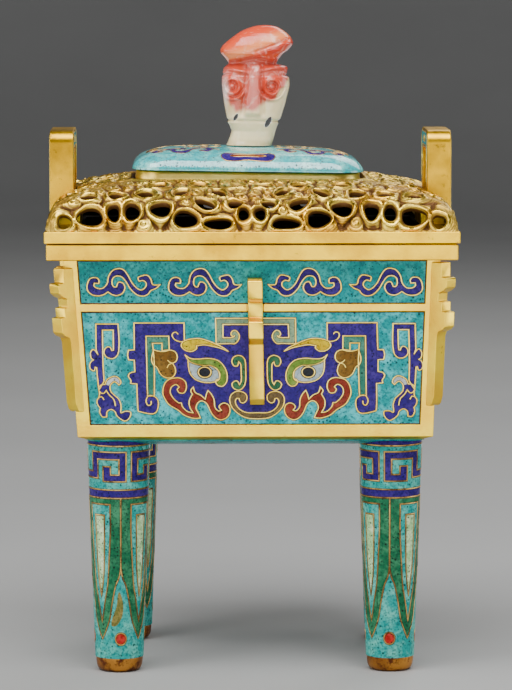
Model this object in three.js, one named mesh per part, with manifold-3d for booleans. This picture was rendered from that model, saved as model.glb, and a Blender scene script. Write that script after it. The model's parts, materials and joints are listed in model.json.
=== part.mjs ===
// Rectangular four-legged censer: an enamelled copper vessel with gilt bars and flanges, a gilt rim
// with two upright handles, an openwork lid with an enamelled plaque, and a carved stone finial.
// Millimetres, +Z up, front towards -Y, origin on the ground under the middle of the rim.
import * as THREE from 'three'
import { mergeVertices } from 'three/addons/utils/BufferGeometryUtils.js'
import Module from 'manifold-3d'

const wasm = await Module()
wasm.setup()

// Clearance between pieces that rest on or are soldered to each other, and how far joined or cutting
// solids run past the surface where they meet another
const GAP = 0.3
const RUN_PAST = 1

// Vessel: height of the base over the ground and of the walls, half sizes over the gilt bars at the
// mouth and at the foot of the walls, and how far the base leans to the right
const BASE_Z = 74.7
const WALL_HEIGHT = 54.7
const MOUTH_HALF_WIDTH = 57.6
const MOUTH_HALF_DEPTH = 44
const BASE_HALF_WIDTH = 54.65
const BASE_HALF_DEPTH = 41
const BASE_SHIFT = 1.1
const WALL = 2

// Underside: how deep it bulges, and its rings as share of the base's half sizes and of that depth
const UNDERSIDE_BULGE = 4.7
const UNDERSIDE_PROFILE = [[0.3, 1], [0.6, 0.86], [0.8, 0.6], [0.93, 0.28]]

// Gilt bars round the sunk enamel fields, the frieze under the mouth and the fillet below it
const BAR_RELIEF = 0.4
const CORNER_BAR = 4.1
const BASE_BAR = 3.7
const FRIEZE_HEIGHT = 13.5
const FILLET_HEIGHT = 2.3

// Rim: how far it stands out over the mouth, its height and the step down to the inside
const RIM_OVERHANG_X = 5.05
const RIM_OVERHANG_Y = 5
const RIM_HEIGHT = 4.85
const RIM_INSIDE = 0.7

// Legs: how far their axes stand in from the base's edges, how far the rear pair stands to the right,
// radii, and the foot's edge as how far it stands in from the foot's radius and its height
const LEG_INSET_X = 12.35
const LEG_INSET_Y = 13
const REAR_LEG_SHIFT = 2.1
const LEG_FOOT_RADIUS = 7.3
const LEG_TOP_RADIUS = 9.75
const LEG_FOOT_EDGE = [[1.9, 0], [0.8, 0.7], [0.1, 2.2], [0, 4.5]]
const LEG_SIDES = 20

// Flanges: how far the edge stands out of the wall, with the distance below the mouth for the head
// and above the base for the tail
const CORNER_FLANGE_THICKNESS = 4.3
const CENTRE_FLANGE_THICKNESS = 4.5
const CENTRE_FLANGE_SHIFT = 0.7
const LEFT_FLANGE_DROP = 1.7
const CORNER_FLANGE_HEAD = [
  [2.2, 0.6], [2.4, 5], [4.4, 5.2], [4.7, 6], [4.6, 8.2], [3.4, 9.2], [1.6, 10], [1.5, 12.5],
  [3, 12.7], [3, 15.5], [4.7, 15.8], [4.7, 20.3], [3.9, 21.2], [2, 22], [1.5, 23.4],
]
const CORNER_FLANGE_TAIL = [[1.5, 12.7], [0.9, 10.5], [0.2, 9.7]]
const CENTRE_FLANGE_HEAD = [
  [3.8, 5.3], [5, 6.2], [5, 11.5], [2.6, 12.2], [3.7, 13], [3.7, 17.2], [2.6, 18], [5, 18.6],
  [5, 23.8], [2.7, 25.6],
]
const CENTRE_FLANGE_TAIL = [[2.7, 11.9], [1.1, 10.1]]
const FLANGE_ROOT = 4

// Handles: thickness, half span, height over the rim, and the width of the band round the loop
const HANDLE_THICKNESS = 7.4
const HANDLE_HALF_SPAN = 14.5
const HANDLE_HEIGHT = 32.85
const HANDLE_BAND = 6
const HANDLE_CORNER = 4
const HANDLE_LOOP_CORNER = 2.5
const ARCH_SEGMENTS = 4

// Lid: how far it stands out over the rim, its band, the ledge inside it and the lip in the mouth
const LID_OVERHANG_X = 0.6
const LID_OVERHANG_Y = 0.5
const LID_BAND = 3.6
const LID_LEDGE = 2.3
const LID_SHIFT = -0.8
const LIP_DEPTH = 2.6
const LIP_WALL = 1.6
const LIP_CLEARANCE = 0.4
const NOTCH_CLEARANCE = 0.5

// Dome: wall, profile as inset from the band's edge and height over the band, and corner radii
const DOME_WALL = 1.8
const DOME_PROFILE = [
  [0.5, 0], [1, 2.6], [1.9, 5.4], [3.4, 7.7], [6, 9.4], [14.2, 12.1], [26.5, 14.5],
]
const DOME_CORNER_LOW = 1
const DOME_CORNER_HIGH = 9
const SHARPEST_CORNER = 0.3
const CORNER_STEPS = 3

// Collar and plaque on top of the dome: how far they stand in from its upper edge, and how much they
// fall to the right, as they were soldered. The plaque's rings are inset from its edge and height
const COLLAR_STEP_X = 1.65
const COLLAR_STEP_Y = 1.4
const COLLAR_HEIGHT = 2.05
const PLAQUE_OVERHANG = 1
const PLAQUE_FALL = 0.0145
const PLAQUE_CORNER = 9
const PLAQUE_STRETCH = 1.3
const PLAQUE_PROFILE = [
  [0.2, 0], [0, 0.7], [0.4, 2], [1.6, 3.4], [4, 4.9], [8, 6], [13, 6.6], [18, 6.9],
]

// Finial: its own height, and its carving as it is drawn: height, left edge, right edge, half depth
const FINIAL_AXIS_X = -0.3
const FINIAL_HEIGHT = 37.8
const FINIAL_BASE_TO_CAP = [
  [0, -7.1, 7.1, 6], [1.2, -6.5, 7.5, 5.6], [2.8, -5.9, 8, 5.2], [4.5, -5.4, 8.4, 5.2],
  [6.4, -6.2, 9, 5.8], [7.7, -6.4, 9.3, 6], [8.4, -6.9, 9.8, 6.4], [13, -7.8, 11.4, 7],
  [18.8, -8.5, 12.8, 7.2], [21.3, -8.5, 12.7, 7.2], [22.6, -8, 11.8, 6.8], [23.8, -8.1, 12, 6.4],
  [24.8, -7.3, 12.1, 6], [25.7, -6.7, 9, 5.4], [27, -7.2, 9.2, 6.4], [28.9, -8.6, 11.1, 7.4],
  [30.4, -8.7, 13, 7.6], [32.3, -6.4, 14.4, 7.3], [34.2, -3.7, 13.4, 6.4], [35.9, -0.9, 11.8, 5],
  [37, 2, 10.4, 3.4], [37.8, 5, 8.4, 1.4],
]
const FINIAL_SIDES = 14
const FINIAL_SQUARENESS = 0.72
const FINIAL_LEFT_HOLE = { x: -4.2, z: 8.9, length: 2.4, width: 1, turn: 60 }
const FINIAL_RIGHT_HOLE = { x: 6, z: 7.5, length: 3.7, width: 1.5, turn: 62 }
const FINIAL_HOLE_SIDES = 6
const FINIAL_EYES = [{ x: -5.4, z: 18.6 }, { x: 7.2, z: 18.6 }]
const FINIAL_EYE_RADIUS = 2.5
const FINIAL_EYE_SIDES = 8
const FINIAL_EYE_RELIEF = 0.1
const FINIAL_NOSE = { x: 1.4, low: 9.5, high: 23.4, halfLow: 2.6, halfHigh: 1.3, relief: 0.4 }
const FINIAL_FACE_DEPTH = 7.2

// Openwork: holes of one half of a side as distance from the middle, distance up the dome from the
// band, length along, width up, and lean of the upper end away from the middle in degrees. They are
// drawn for a side of the half length given first, and spread with it
const HOLE_SIDES = 7
const LONG_SIDE_DRAWN = 63.25
const SHORT_SIDE_DRAWN = 49.5
const LONG_SIDE_HOLES = [
  [2.6, 5.8, 3, 4.2, 0], [10.2, 2.4, 8.2, 2.8, 0], [5.1, 9.3, 3.8, 2.8, 10],
  [14.4, 9.6, 3.6, 6.6, 50], [20.3, 4, 6.8, 5, -8], [27.6, 7.6, 6, 5.2, 10], [36.4, 6.8, 4.2, 6.2, 0],
  [42.1, 6.2, 3.4, 5.8, 0], [49.2, 4.7, 7.4, 5.4, 0], [57, 3, 3.8, 3.8, 0],
  [9.6, 17, 3, 5.6, 30], [21.4, 16.4, 3, 6, -25], [32.4, 15.8, 4.6, 4.6, 0], [41.2, 14.6, 4.4, 3.6, 0],
  [49.6, 13.6, 4.4, 3.2, 0], [4, 23.6, 4.6, 3.4, 20], [15.4, 24.4, 5, 3.4, -20], [28.4, 24.2, 5, 3.4, 15],
]
const SHORT_SIDE_HOLES = [
  [43.4, 3, 3.8, 3.8, 0], [35.6, 4.7, 7.4, 5.4, 0], [28.4, 6.2, 3.4, 5.8, 0], [22.6, 6.8, 4.2, 6.2, 0],
  [35.8, 13.6, 4.4, 3.2, 0], [27.4, 14.6, 4.4, 3.6, 0], [19.4, 17.4, 4.6, 4.6, 0],
  [4, 24, 4.6, 3.4, 20], [13.6, 24.6, 5, 3.4, -20],
]

// Heights and half sizes worked out from the values above
const MOUTH_Z = BASE_Z + WALL_HEIGHT
const FILLET_HIGH = MOUTH_Z - FRIEZE_HEIGHT
const FILLET_LOW = FILLET_HIGH - FILLET_HEIGHT
const RIM_HALF_WIDTH = MOUTH_HALF_WIDTH + RIM_OVERHANG_X
const RIM_HALF_DEPTH = MOUTH_HALF_DEPTH + RIM_OVERHANG_Y
const RIM_INNER_WIDTH = MOUTH_HALF_WIDTH - WALL - RIM_INSIDE
const RIM_INNER_DEPTH = MOUTH_HALF_DEPTH - WALL - RIM_INSIDE
const RIM_LOW = MOUTH_Z + GAP
const RIM_HIGH = RIM_LOW + RIM_HEIGHT
const HANDLE_OUTER_X = RIM_HALF_WIDTH
const HANDLE_INNER_X = HANDLE_OUTER_X - HANDLE_THICKNESS
const HANDLE_FOOT = RIM_HIGH + GAP
const HANDLE_TOP = HANDLE_FOOT + HANDLE_HEIGHT
const LID_HALF_WIDTH = RIM_HALF_WIDTH + LID_OVERHANG_X
const LID_HALF_DEPTH = RIM_HALF_DEPTH + LID_OVERHANG_Y
const LID_LOW = RIM_HIGH + GAP
const LIP_LOW = LID_LOW - LIP_DEPTH
const LIP_WIDTH = RIM_INNER_WIDTH - LIP_CLEARANCE
const LIP_HALF_DEPTH = RIM_INNER_DEPTH - LIP_CLEARANCE
const DOME_LOW = LID_LOW + LID_BAND
const [COLLAR_INSET, DOME_RISE] = DOME_PROFILE.at(-1)
const COLLAR_HALF_WIDTH = LID_HALF_WIDTH - COLLAR_INSET - COLLAR_STEP_X
const COLLAR_HALF_DEPTH = LID_HALF_DEPTH - COLLAR_INSET - COLLAR_STEP_Y
const COLLAR_TOP = DOME_LOW + DOME_RISE + COLLAR_HEIGHT
const PLAQUE_HEIGHT = PLAQUE_PROFILE.at(-1)[1]
const FINIAL_SCALE = FINIAL_HEIGHT / FINIAL_BASE_TO_CAP.at(-1)[0]
const CORNER_DIAGONAL = Math.SQRT1_2

// Solids from geometries and back

function solidOf(geometry) {
  const bare = geometry.clone()
  bare.deleteAttribute('normal')
  bare.deleteAttribute('uv')
  const merged = mergeVertices(bare, 1e-4)
  return new wasm.Manifold(new wasm.Mesh({
    numProp: 3,
    vertProperties: new Float32Array(merged.attributes.position.array),
    triVerts: new Uint32Array(merged.index.array),
  }))
}

function geometryOf(solid) {
  const mesh = solid.getMesh()
  const geometry = new THREE.BufferGeometry()
  geometry.setAttribute('position', new THREE.BufferAttribute(new Float32Array(mesh.vertProperties), 3))
  geometry.setIndex(new THREE.BufferAttribute(new Uint32Array(mesh.triVerts), 1))
  geometry.computeVertexNormals()
  return geometry
}

// A closed skin through rings of points, each anticlockwise seen from above, from the bottom up
function loft(rings) {
  const sides = rings[0].length
  const points = rings.flat()
  const index = []
  for (let level = 0; level + 1 < rings.length; level++) {
    for (let i = 0; i < sides; i++) {
      const next = (i + 1) % sides
      const a = level * sides + i
      const b = level * sides + next
      index.push(a, b, b + sides, a, b + sides, a + sides)
    }
  }
  const lowCentre = points.push(middleOf(rings[0])) - 1
  const highCentre = points.push(middleOf(rings.at(-1))) - 1
  const top = (rings.length - 1) * sides
  for (let i = 0; i < sides; i++) {
    const next = (i + 1) % sides
    index.push(lowCentre, next, i)
    index.push(highCentre, top + i, top + next)
  }
  const geometry = new THREE.BufferGeometry().setFromPoints(points)
  geometry.setIndex(index)
  return geometry
}

function middleOf(ring) {
  return ring.reduce((sum, p) => sum.add(p), new THREE.Vector3()).divideScalar(ring.length)
}

function rectangleRing(left, right, front, back, z) {
  return [[left, front], [right, front], [right, back], [left, back]]
    .map(([x, y]) => new THREE.Vector3(x, y, z))
}

function roundedRing(halfWidth, halfDepth, radius, z, shift = 0) {
  const ring = []
  const corners = [[1, -1, -90], [1, 1, 0], [-1, 1, 90], [-1, -1, 180]]
  for (const [sideX, sideY, start] of corners) {
    for (let step = 0; step <= CORNER_STEPS; step++) {
      const angle = THREE.MathUtils.degToRad(start + 90 * step / CORNER_STEPS)
      const x = sideX * (halfWidth - radius) + radius * Math.cos(angle)
      const y = sideY * (halfDepth - radius) + radius * Math.sin(angle)
      ring.push(new THREE.Vector3(x + shift, y, z))
    }
  }
  return ring
}

// The vessel's wall at a height: how far along the taper it is, and its half sizes over the bars

function taper(z) {
  return (z - BASE_Z) / (MOUTH_Z - BASE_Z)
}

function halfWidthAt(z) {
  return THREE.MathUtils.lerp(BASE_HALF_WIDTH, MOUTH_HALF_WIDTH, taper(z))
}

function halfDepthAt(z) {
  return THREE.MathUtils.lerp(BASE_HALF_DEPTH, MOUTH_HALF_DEPTH, taper(z))
}

function shiftAt(z) {
  return BASE_SHIFT * (1 - taper(z))
}

function wallRing(z, grow) {
  const halfWidth = halfWidthAt(z) + grow
  const halfDepth = halfDepthAt(z) + grow
  const shift = shiftAt(z)
  return rectangleRing(shift - halfWidth, shift + halfWidth, -halfDepth, halfDepth, z)
}

// The vessel's outer form, larger by grow all round, from its bulging underside up to top. The
// underside's rings shrink towards its middle while they drop
function vesselForm(grow, raise, top) {
  const foot = wallRing(BASE_Z, grow)
  const centre = middleOf(foot)
  const rings = UNDERSIDE_PROFILE.map(([share, drop]) => foot.map((p) => p.clone().sub(centre)
    .multiplyScalar(share).add(centre).setZ(BASE_Z + raise - UNDERSIDE_BULGE * drop)))
  rings.push(foot.map((p) => p.clone().setZ(BASE_Z + raise)), wallRing(top, grow))
  return solidOf(loft(rings))
}

// A block in front of the long (y) or short (x) walls between two heights. Its edges are given as
// functions of the height: from low to high along the wall, and from near to far off the wall
function wallBlock(axis, side, zLow, zHigh, low, high, near, far) {
  const rings = [zLow, zHigh].map((z) => {
    const out = [side * near(z), side * far(z)].sort((a, b) => a - b)
    return axis === 'y'
      ? rectangleRing(low(z), high(z), out[0], out[1], z)
      : rectangleRing(shiftAt(z) + out[0], shiftAt(z) + out[1], low(z), high(z), z)
  })
  return solidOf(loft(rings))
}

function mesh(name, geometry, color, roughness, metalness) {
  const flat = geometry.index ? geometry : mergeVertices(geometry)
  flat.computeVertexNormals()
  const made = new THREE.Mesh(flat, new THREE.MeshStandardMaterial({ color, roughness, metalness }))
  made.name = name
  return made
}

const gilt = (name, geometry) => mesh(name, geometry, 0xd9b45a, 0.3, 1)
const enamel = (name, geometry) => mesh(name, geometry, 0x3fa9ad, 0.25, 0)

const SIDES = [['y', -1], ['y', 1], ['x', 1], ['x', -1]]

// Vessel: walls of true thickness, with the enamel fields sunk between the gilt bars

function enamelField(axis, side, zLow, zHigh) {
  const along = axis === 'y' ? halfWidthAt : halfDepthAt
  const off = axis === 'y' ? halfDepthAt : halfWidthAt
  const middle = axis === 'y' ? shiftAt : () => 0
  return wallBlock(
    axis, side, zLow, zHigh,
    (z) => middle(z) - along(z) + CORNER_BAR, (z) => middle(z) + along(z) - CORNER_BAR,
    (z) => off(z) - BAR_RELIEF, (z) => off(z) + RUN_PAST,
  )
}

function flangeMiddle(axis, z) {
  return axis === 'y' ? shiftAt(z) + CENTRE_FLANGE_SHIFT : 0
}

function flangeSlot(axis, side) {
  const off = axis === 'y' ? halfDepthAt : halfWidthAt
  const half = CENTRE_FLANGE_THICKNESS / 2 + GAP
  return wallBlock(
    axis, side, FILLET_LOW - RUN_PAST, FILLET_HIGH + RUN_PAST,
    (z) => flangeMiddle(axis, z) - half, (z) => flangeMiddle(axis, z) + half,
    (z) => off(z) - BAR_RELIEF, (z) => off(z) + RUN_PAST,
  )
}

function vessel() {
  let body = vesselForm(0, 0, MOUTH_Z).subtract(vesselForm(-WALL, WALL, MOUTH_Z + WALL))
  for (const [axis, side] of SIDES) {
    body = body
      .subtract(enamelField(axis, side, BASE_Z + BASE_BAR, FILLET_LOW))
      .subtract(enamelField(axis, side, FILLET_HIGH, MOUTH_Z + RUN_PAST))
      .subtract(flangeSlot(axis, side))
  }
  return enamel('vessel', geometryOf(body))
}

// Rim: a flat frame over the mouth

function rim() {
  const outer = solidOf(loft([RIM_LOW, RIM_HIGH].map((z) => rectangleRing(
    -RIM_HALF_WIDTH, RIM_HALF_WIDTH, -RIM_HALF_DEPTH, RIM_HALF_DEPTH, z))))
  const inner = solidOf(loft([RIM_LOW - RUN_PAST, RIM_HIGH + RUN_PAST].map((z) => rectangleRing(
    -RIM_INNER_WIDTH, RIM_INNER_WIDTH, -RIM_INNER_DEPTH, RIM_INNER_DEPTH, z))))
  return gilt('rim', geometryOf(outer.subtract(inner)))
}

// Legs: round and tapering, with a gilt foot that ends in a small flat. Their tops follow the underside

function leg(name, x, y) {
  const top = BASE_Z + WALL
  const middle = BASE_Z / 2
  const profile = [
    [0, 0], ...LEG_FOOT_EDGE.map(([inset, z]) => [LEG_FOOT_RADIUS - inset, z]),
    [(LEG_FOOT_RADIUS + LEG_TOP_RADIUS) / 2, middle],
    [LEG_TOP_RADIUS, BASE_Z], [LEG_TOP_RADIUS, top], [0, top],
  ].map(([r, z]) => new THREE.Vector2(r, z))
  const turned = new THREE.LatheGeometry(profile, LEG_SIDES).rotateX(Math.PI / 2).translate(x, y, 0)
  const shaped = solidOf(turned).subtract(vesselForm(GAP, -GAP, MOUTH_Z))
  return enamel(name, geometryOf(shaped))
}

function legs() {
  return [['front', -1, 0], ['rear', 1, REAR_LEG_SHIFT]].flatMap(([row, sideY, shift]) => (
    [['left', -1], ['right', 1]].map(([end, sideX]) => (
      leg(
        `leg_${row}_${end}`, BASE_SHIFT + shift + sideX * (BASE_HALF_WIDTH - LEG_INSET_X),
        sideY * (BASE_HALF_DEPTH - LEG_INSET_Y),
      )))))
}

// Flanges: plates with a stepped and hooked edge. place turns a projection, a height and a place
// across the plate's thickness into a point on the tapering body

function flangeProfile(head, tail) {
  return [
    ...head.map(([out, below]) => [out, MOUTH_Z - below]),
    ...tail.map(([out, above]) => [out, BASE_Z + above]),
  ]
}

function flangePlate(profile, root, thickness, drop, place) {
  const heights = profile.map(([, z]) => z)
  const outline = [[-root, Math.max(...heights)], ...profile, [-root, Math.min(...heights)]]
  const shape = new THREE.Shape(outline.map(([out, z]) => new THREE.Vector2(out, z - drop)))
  const plate = new THREE.ExtrudeGeometry(shape, { depth: thickness, bevelEnabled: false, steps: 1 })
  const position = plate.attributes.position
  for (let i = 0; i < position.count; i++) {
    const point = place(position.getX(i), position.getY(i), position.getZ(i) - thickness / 2)
    position.setXYZ(i, point.x, point.y, point.z)
  }
  const solid = solidOf(plate)
  return solid.volume() < 0 ? solidOf(turnedInsideOut(plate)) : solid
}

function turnedInsideOut(geometry) {
  const turned = geometry.clone()
  const position = turned.attributes.position
  for (let i = 0; i < position.count; i += 3) {
    const a = new THREE.Vector3().fromBufferAttribute(position, i)
    const b = new THREE.Vector3().fromBufferAttribute(position, i + 1)
    position.setXYZ(i, b.x, b.y, b.z)
    position.setXYZ(i + 1, a.x, a.y, a.z)
  }
  return turned
}

function cornerFlange(name, sideX, sideY) {
  const drop = sideX < 0 ? LEFT_FLANGE_DROP : 0
  const across = sideX * sideY > 0 ? 1 : -1
  const place = (out, z, aside) => new THREE.Vector3(
    shiftAt(z) + sideX * (halfWidthAt(z) + CORNER_DIAGONAL * (out - across * aside)),
    sideY * (halfDepthAt(z) + CORNER_DIAGONAL * (out + across * aside)),
    z,
  )
  const profile = flangeProfile(CORNER_FLANGE_HEAD, CORNER_FLANGE_TAIL)
  const plate = flangePlate(profile, FLANGE_ROOT, CORNER_FLANGE_THICKNESS, drop, place)
  return gilt(name, geometryOf(plate.subtract(vesselForm(GAP, -GAP, MOUTH_Z))))
}

function centreFlange(name, axis, side) {
  const root = GAP - BAR_RELIEF
  const place = (out, z, aside) => (axis === 'y'
    ? new THREE.Vector3(flangeMiddle('y', z) + aside, side * (halfDepthAt(z) + out), z)
    : new THREE.Vector3(shiftAt(z) + side * (halfWidthAt(z) + out), aside, z))
  const profile = flangeProfile(CENTRE_FLANGE_HEAD, CENTRE_FLANGE_TAIL)
  const plate = flangePlate(profile, -root, CENTRE_FLANGE_THICKNESS, 0, place)
  return gilt(name, geometryOf(plate))
}

function flanges() {
  return [
    cornerFlange('corner_flange_front_left', -1, -1), cornerFlange('corner_flange_front_right', 1, -1),
    cornerFlange('corner_flange_rear_left', -1, 1), cornerFlange('corner_flange_rear_right', 1, 1),
    centreFlange('centre_flange_front', 'y', -1), centreFlange('centre_flange_rear', 'y', 1),
    centreFlange('centre_flange_left', 'x', -1), centreFlange('centre_flange_right', 'x', 1),
  ]
}

// Handles: inverted U plates that stand on the short sides of the rim

function archOutline(half, top, corner, foot) {
  const shape = new THREE.Shape()
  shape.moveTo(-half, foot)
  shape.lineTo(half, foot)
  shape.lineTo(half, top - corner)
  shape.absarc(half - corner, top - corner, corner, 0, Math.PI / 2, false)
  shape.lineTo(corner - half, top)
  shape.absarc(corner - half, top - corner, corner, Math.PI / 2, Math.PI, false)
  shape.closePath()
  return shape
}

function archSolid(half, top, corner, foot, near, far) {
  const options = { depth: far - near, bevelEnabled: false, steps: 1, curveSegments: ARCH_SEGMENTS }
  const arch = new THREE.ExtrudeGeometry(archOutline(half, top, corner, foot), options)
  arch.rotateX(Math.PI / 2).rotateZ(Math.PI / 2).translate(near, 0, 0)
  return solidOf(arch)
}

function handle(name, side) {
  const outer = archSolid(
    HANDLE_HALF_SPAN, HANDLE_TOP, HANDLE_CORNER, HANDLE_FOOT, HANDLE_INNER_X, HANDLE_OUTER_X,
  )
  const loop = archSolid(
    HANDLE_HALF_SPAN - HANDLE_BAND, HANDLE_TOP - HANDLE_BAND, HANDLE_LOOP_CORNER,
    HANDLE_FOOT - RUN_PAST, HANDLE_INNER_X - RUN_PAST, HANDLE_OUTER_X + RUN_PAST,
  )
  const arch = outer.subtract(loop)
  return gilt(name, geometryOf(side < 0 ? arch.mirror([1, 0, 0]) : arch))
}

// Lid: a band that rests on the rim, a lip inside the mouth and a hollow dome pierced by the openwork

// The point of the dome's profile that lies a distance up the slope, and the slope's direction there
function domeAt(up) {
  let walked = 0
  for (let i = 0; i + 1 < DOME_PROFILE.length; i++) {
    const [insetA, riseA] = DOME_PROFILE[i]
    const [insetB, riseB] = DOME_PROFILE[i + 1]
    const length = Math.hypot(insetB - insetA, riseB - riseA)
    if (up <= walked + length || i + 2 === DOME_PROFILE.length) {
      const share = (up - walked) / length
      return {
        inset: THREE.MathUtils.lerp(insetA, insetB, share),
        rise: THREE.MathUtils.lerp(riseA, riseB, share),
        inward: (insetB - insetA) / length,
        upward: (riseB - riseA) / length,
      }
    }
    walked += length
  }
}

function domeShift(inset) {
  return LID_SHIFT * inset / COLLAR_INSET
}

function domeRing(inset, rise, wall = 0) {
  const radius = THREE.MathUtils.lerp(DOME_CORNER_LOW, DOME_CORNER_HIGH, inset / COLLAR_INSET) - wall / 2
  return roundedRing(
    LID_HALF_WIDTH - inset - wall, LID_HALF_DEPTH - inset - wall, Math.max(radius, SHARPEST_CORNER),
    DOME_LOW + rise, domeShift(inset),
  )
}

function notches(grow) {
  const inner = HANDLE_INNER_X - NOTCH_CLEARANCE - grow
  const half = HANDLE_HALF_SPAN + NOTCH_CLEARANCE + grow
  return [1, -1].map((side) => {
    const ends = [side * inner, side * (LID_HALF_WIDTH + RUN_PAST)].sort((a, b) => a - b)
    return solidOf(loft([LIP_LOW - RUN_PAST, HANDLE_TOP].map((z) => rectangleRing(ends[0], ends[1], -half, half, z))))
  }).reduce((all, one) => all.add(one))
}

function seatZ(x) {
  return COLLAR_TOP - PLAQUE_FALL * (x - LID_SHIFT)
}

function seated(ring, rise) {
  return ring.map((p) => p.clone().setZ(seatZ(p.x) + rise))
}

function lidForm() {
  const band = loft([LID_LOW, DOME_LOW].map((z) => rectangleRing(
    -LID_HALF_WIDTH, LID_HALF_WIDTH, -LID_HALF_DEPTH, LID_HALF_DEPTH, z)))
  const lip = loft([LIP_LOW, LID_LOW + RUN_PAST].map((z) => rectangleRing(
    -LIP_WIDTH, LIP_WIDTH, -LIP_HALF_DEPTH, LIP_HALF_DEPTH, z)))
  const [lowInset] = DOME_PROFILE[0]
  const dome = loft([domeRing(lowInset, -RUN_PAST), ...DOME_PROFILE.map(([inset, rise]) => domeRing(inset, rise))])
  const collarRing = roundedRing(COLLAR_HALF_WIDTH, COLLAR_HALF_DEPTH, PLAQUE_CORNER, 0, LID_SHIFT)
  const collarFoot = collarRing.map((p) => p.clone().setZ(DOME_LOW + DOME_RISE - RUN_PAST))
  const collar = loft([collarFoot, seated(collarRing, 0)])
  return [lip, dome, collar].map(solidOf).reduce((all, one) => all.add(one), solidOf(band))
}

// The space under the dome: the profile moved in by the wall, square to the slope
function lidHollow() {
  const inner = DOME_PROFILE.map(([inset, rise], i) => {
    const [insetA, riseA] = DOME_PROFILE[Math.max(i - 1, 0)]
    const [insetB, riseB] = DOME_PROFILE[Math.min(i + 1, DOME_PROFILE.length - 1)]
    const length = Math.hypot(insetB - insetA, riseB - riseA)
    const inward = DOME_WALL * (riseB - riseA) / length
    return { inset, inward, rise: rise - DOME_WALL * (insetB - insetA) / length }
  })
  const ledge = LID_LEDGE - LID_BAND
  const rings = inner.filter(({ rise }) => rise > ledge)
    .map(({ inset, inward, rise }) => domeRing(inset, rise, inward))
  const dome = loft([domeRing(inner[0].inset, ledge, inner[0].inward), ...rings])
  const openingWidth = LIP_WIDTH - LIP_WALL
  const openingDepth = LIP_HALF_DEPTH - LIP_WALL
  const opening = loft([LIP_LOW - RUN_PAST, LID_LOW + LID_LEDGE + RUN_PAST].map((z) => rectangleRing(
    -openingWidth, openingWidth, -openingDepth, openingDepth, z)))
  return solidOf(dome).subtract(notches(LIP_WALL)).add(solidOf(opening))
}

// One hole of the openwork as a short prism square to the dome's slope
function holePrism(axis, side, along, up, length, width, lean) {
  const { inset, rise, inward, upward } = domeAt(up)
  const spread = axis === 'y' ? LID_HALF_WIDTH / LONG_SIDE_DRAWN : LID_HALF_DEPTH / SHORT_SIDE_DRAWN
  const middle = along * spread + (axis === 'y' ? domeShift(inset) : 0)
  const off = (axis === 'y' ? LID_HALF_DEPTH : LID_HALF_WIDTH) - inset
  const turn = THREE.MathUtils.degToRad(lean) * Math.sign(along)
  const outline = (depth) => Array.from({ length: HOLE_SIDES }, (_, i) => {
    const angle = 2 * Math.PI * i / HOLE_SIDES + Math.PI / 2
    const a = length / 2 * Math.cos(angle)
    const b = width / 2 * Math.sin(angle)
    const sideways = middle + a * Math.cos(turn) + b * Math.sin(turn)
    const climb = b * Math.cos(turn) - a * Math.sin(turn)
    const out = side * (off - climb * inward + depth * upward)
    const z = DOME_LOW + rise + climb * upward + depth * inward
    return axis === 'y' ? new THREE.Vector3(sideways, out, z) : new THREE.Vector3(out, sideways, z)
  })
  const ends = [outline(-DOME_WALL - 2 * RUN_PAST), outline(2 * RUN_PAST)]
  const solid = solidOf(loft(ends))
  return solid.volume() < 0 ? solidOf(loft(ends.reverse())) : solid
}

function openwork() {
  const prisms = []
  for (const [axis, side] of SIDES) {
    const holes = axis === 'y' ? LONG_SIDE_HOLES : SHORT_SIDE_HOLES
    for (const [along, up, length, width, lean] of holes) {
      prisms.push(holePrism(axis, side, along, up, length, width, lean))
      prisms.push(holePrism(axis, side, -along, up, length, width, lean))
    }
  }
  return prisms
}

function lid() {
  let body = lidForm().subtract(lidHollow()).subtract(notches(0))
  for (const prism of openwork()) {
    body = body.subtract(prism)
  }
  return gilt('lid', geometryOf(body))
}

// Plaque: a pillow with its edge over the collar

function plaque() {
  const rings = PLAQUE_PROFILE.map(([inset, rise]) => {
    const halfWidth = COLLAR_HALF_WIDTH + PLAQUE_OVERHANG - inset * PLAQUE_STRETCH
    const halfDepth = COLLAR_HALF_DEPTH + PLAQUE_OVERHANG - inset
    const ring = roundedRing(halfWidth, halfDepth, Math.min(PLAQUE_CORNER, halfDepth - SHARPEST_CORNER), 0, LID_SHIFT)
    return seated(ring, GAP + rise)
  })
  return enamel('plaque', geometryOf(solidOf(loft(rings))))
}

// Finial: sections with rounded corners, two pierced holes, a nose ridge and two eyes

function finialSection([rise, left, right, depth]) {
  const middle = (left + right) / 2
  const half = (right - left) / 2
  return Array.from({ length: FINIAL_SIDES }, (_, i) => {
    const angle = 2 * Math.PI * i / FINIAL_SIDES
    const shaped = (value) => Math.sign(value) * Math.abs(value) ** FINIAL_SQUARENESS
    return carved(middle + half * shaped(Math.cos(angle)), depth * shaped(Math.sin(angle)), rise)
  })
}

// A point of the carving, at its own scale, over the plaque's sloping top
function carved(x, y, z) {
  const place = FINIAL_AXIS_X + FINIAL_SCALE * x
  return new THREE.Vector3(place, FINIAL_SCALE * y, seatZ(place) + 2 * GAP + PLAQUE_HEIGHT + FINIAL_SCALE * z)
}

function finialHole({ x, z, length, width, turn }) {
  const lean = THREE.MathUtils.degToRad(turn)
  const outline = (y) => Array.from({ length: FINIAL_HOLE_SIDES }, (_, i) => {
    const angle = 2 * Math.PI * i / FINIAL_HOLE_SIDES
    const a = length / 2 * Math.cos(angle)
    const b = width / 2 * Math.sin(angle)
    return carved(
      x + a * Math.cos(lean) - b * Math.sin(lean), y, z + a * Math.sin(lean) + b * Math.cos(lean))
  })
  return solidOf(loft([outline(2 * FINIAL_FACE_DEPTH), outline(-2 * FINIAL_FACE_DEPTH)]))
}

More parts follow.
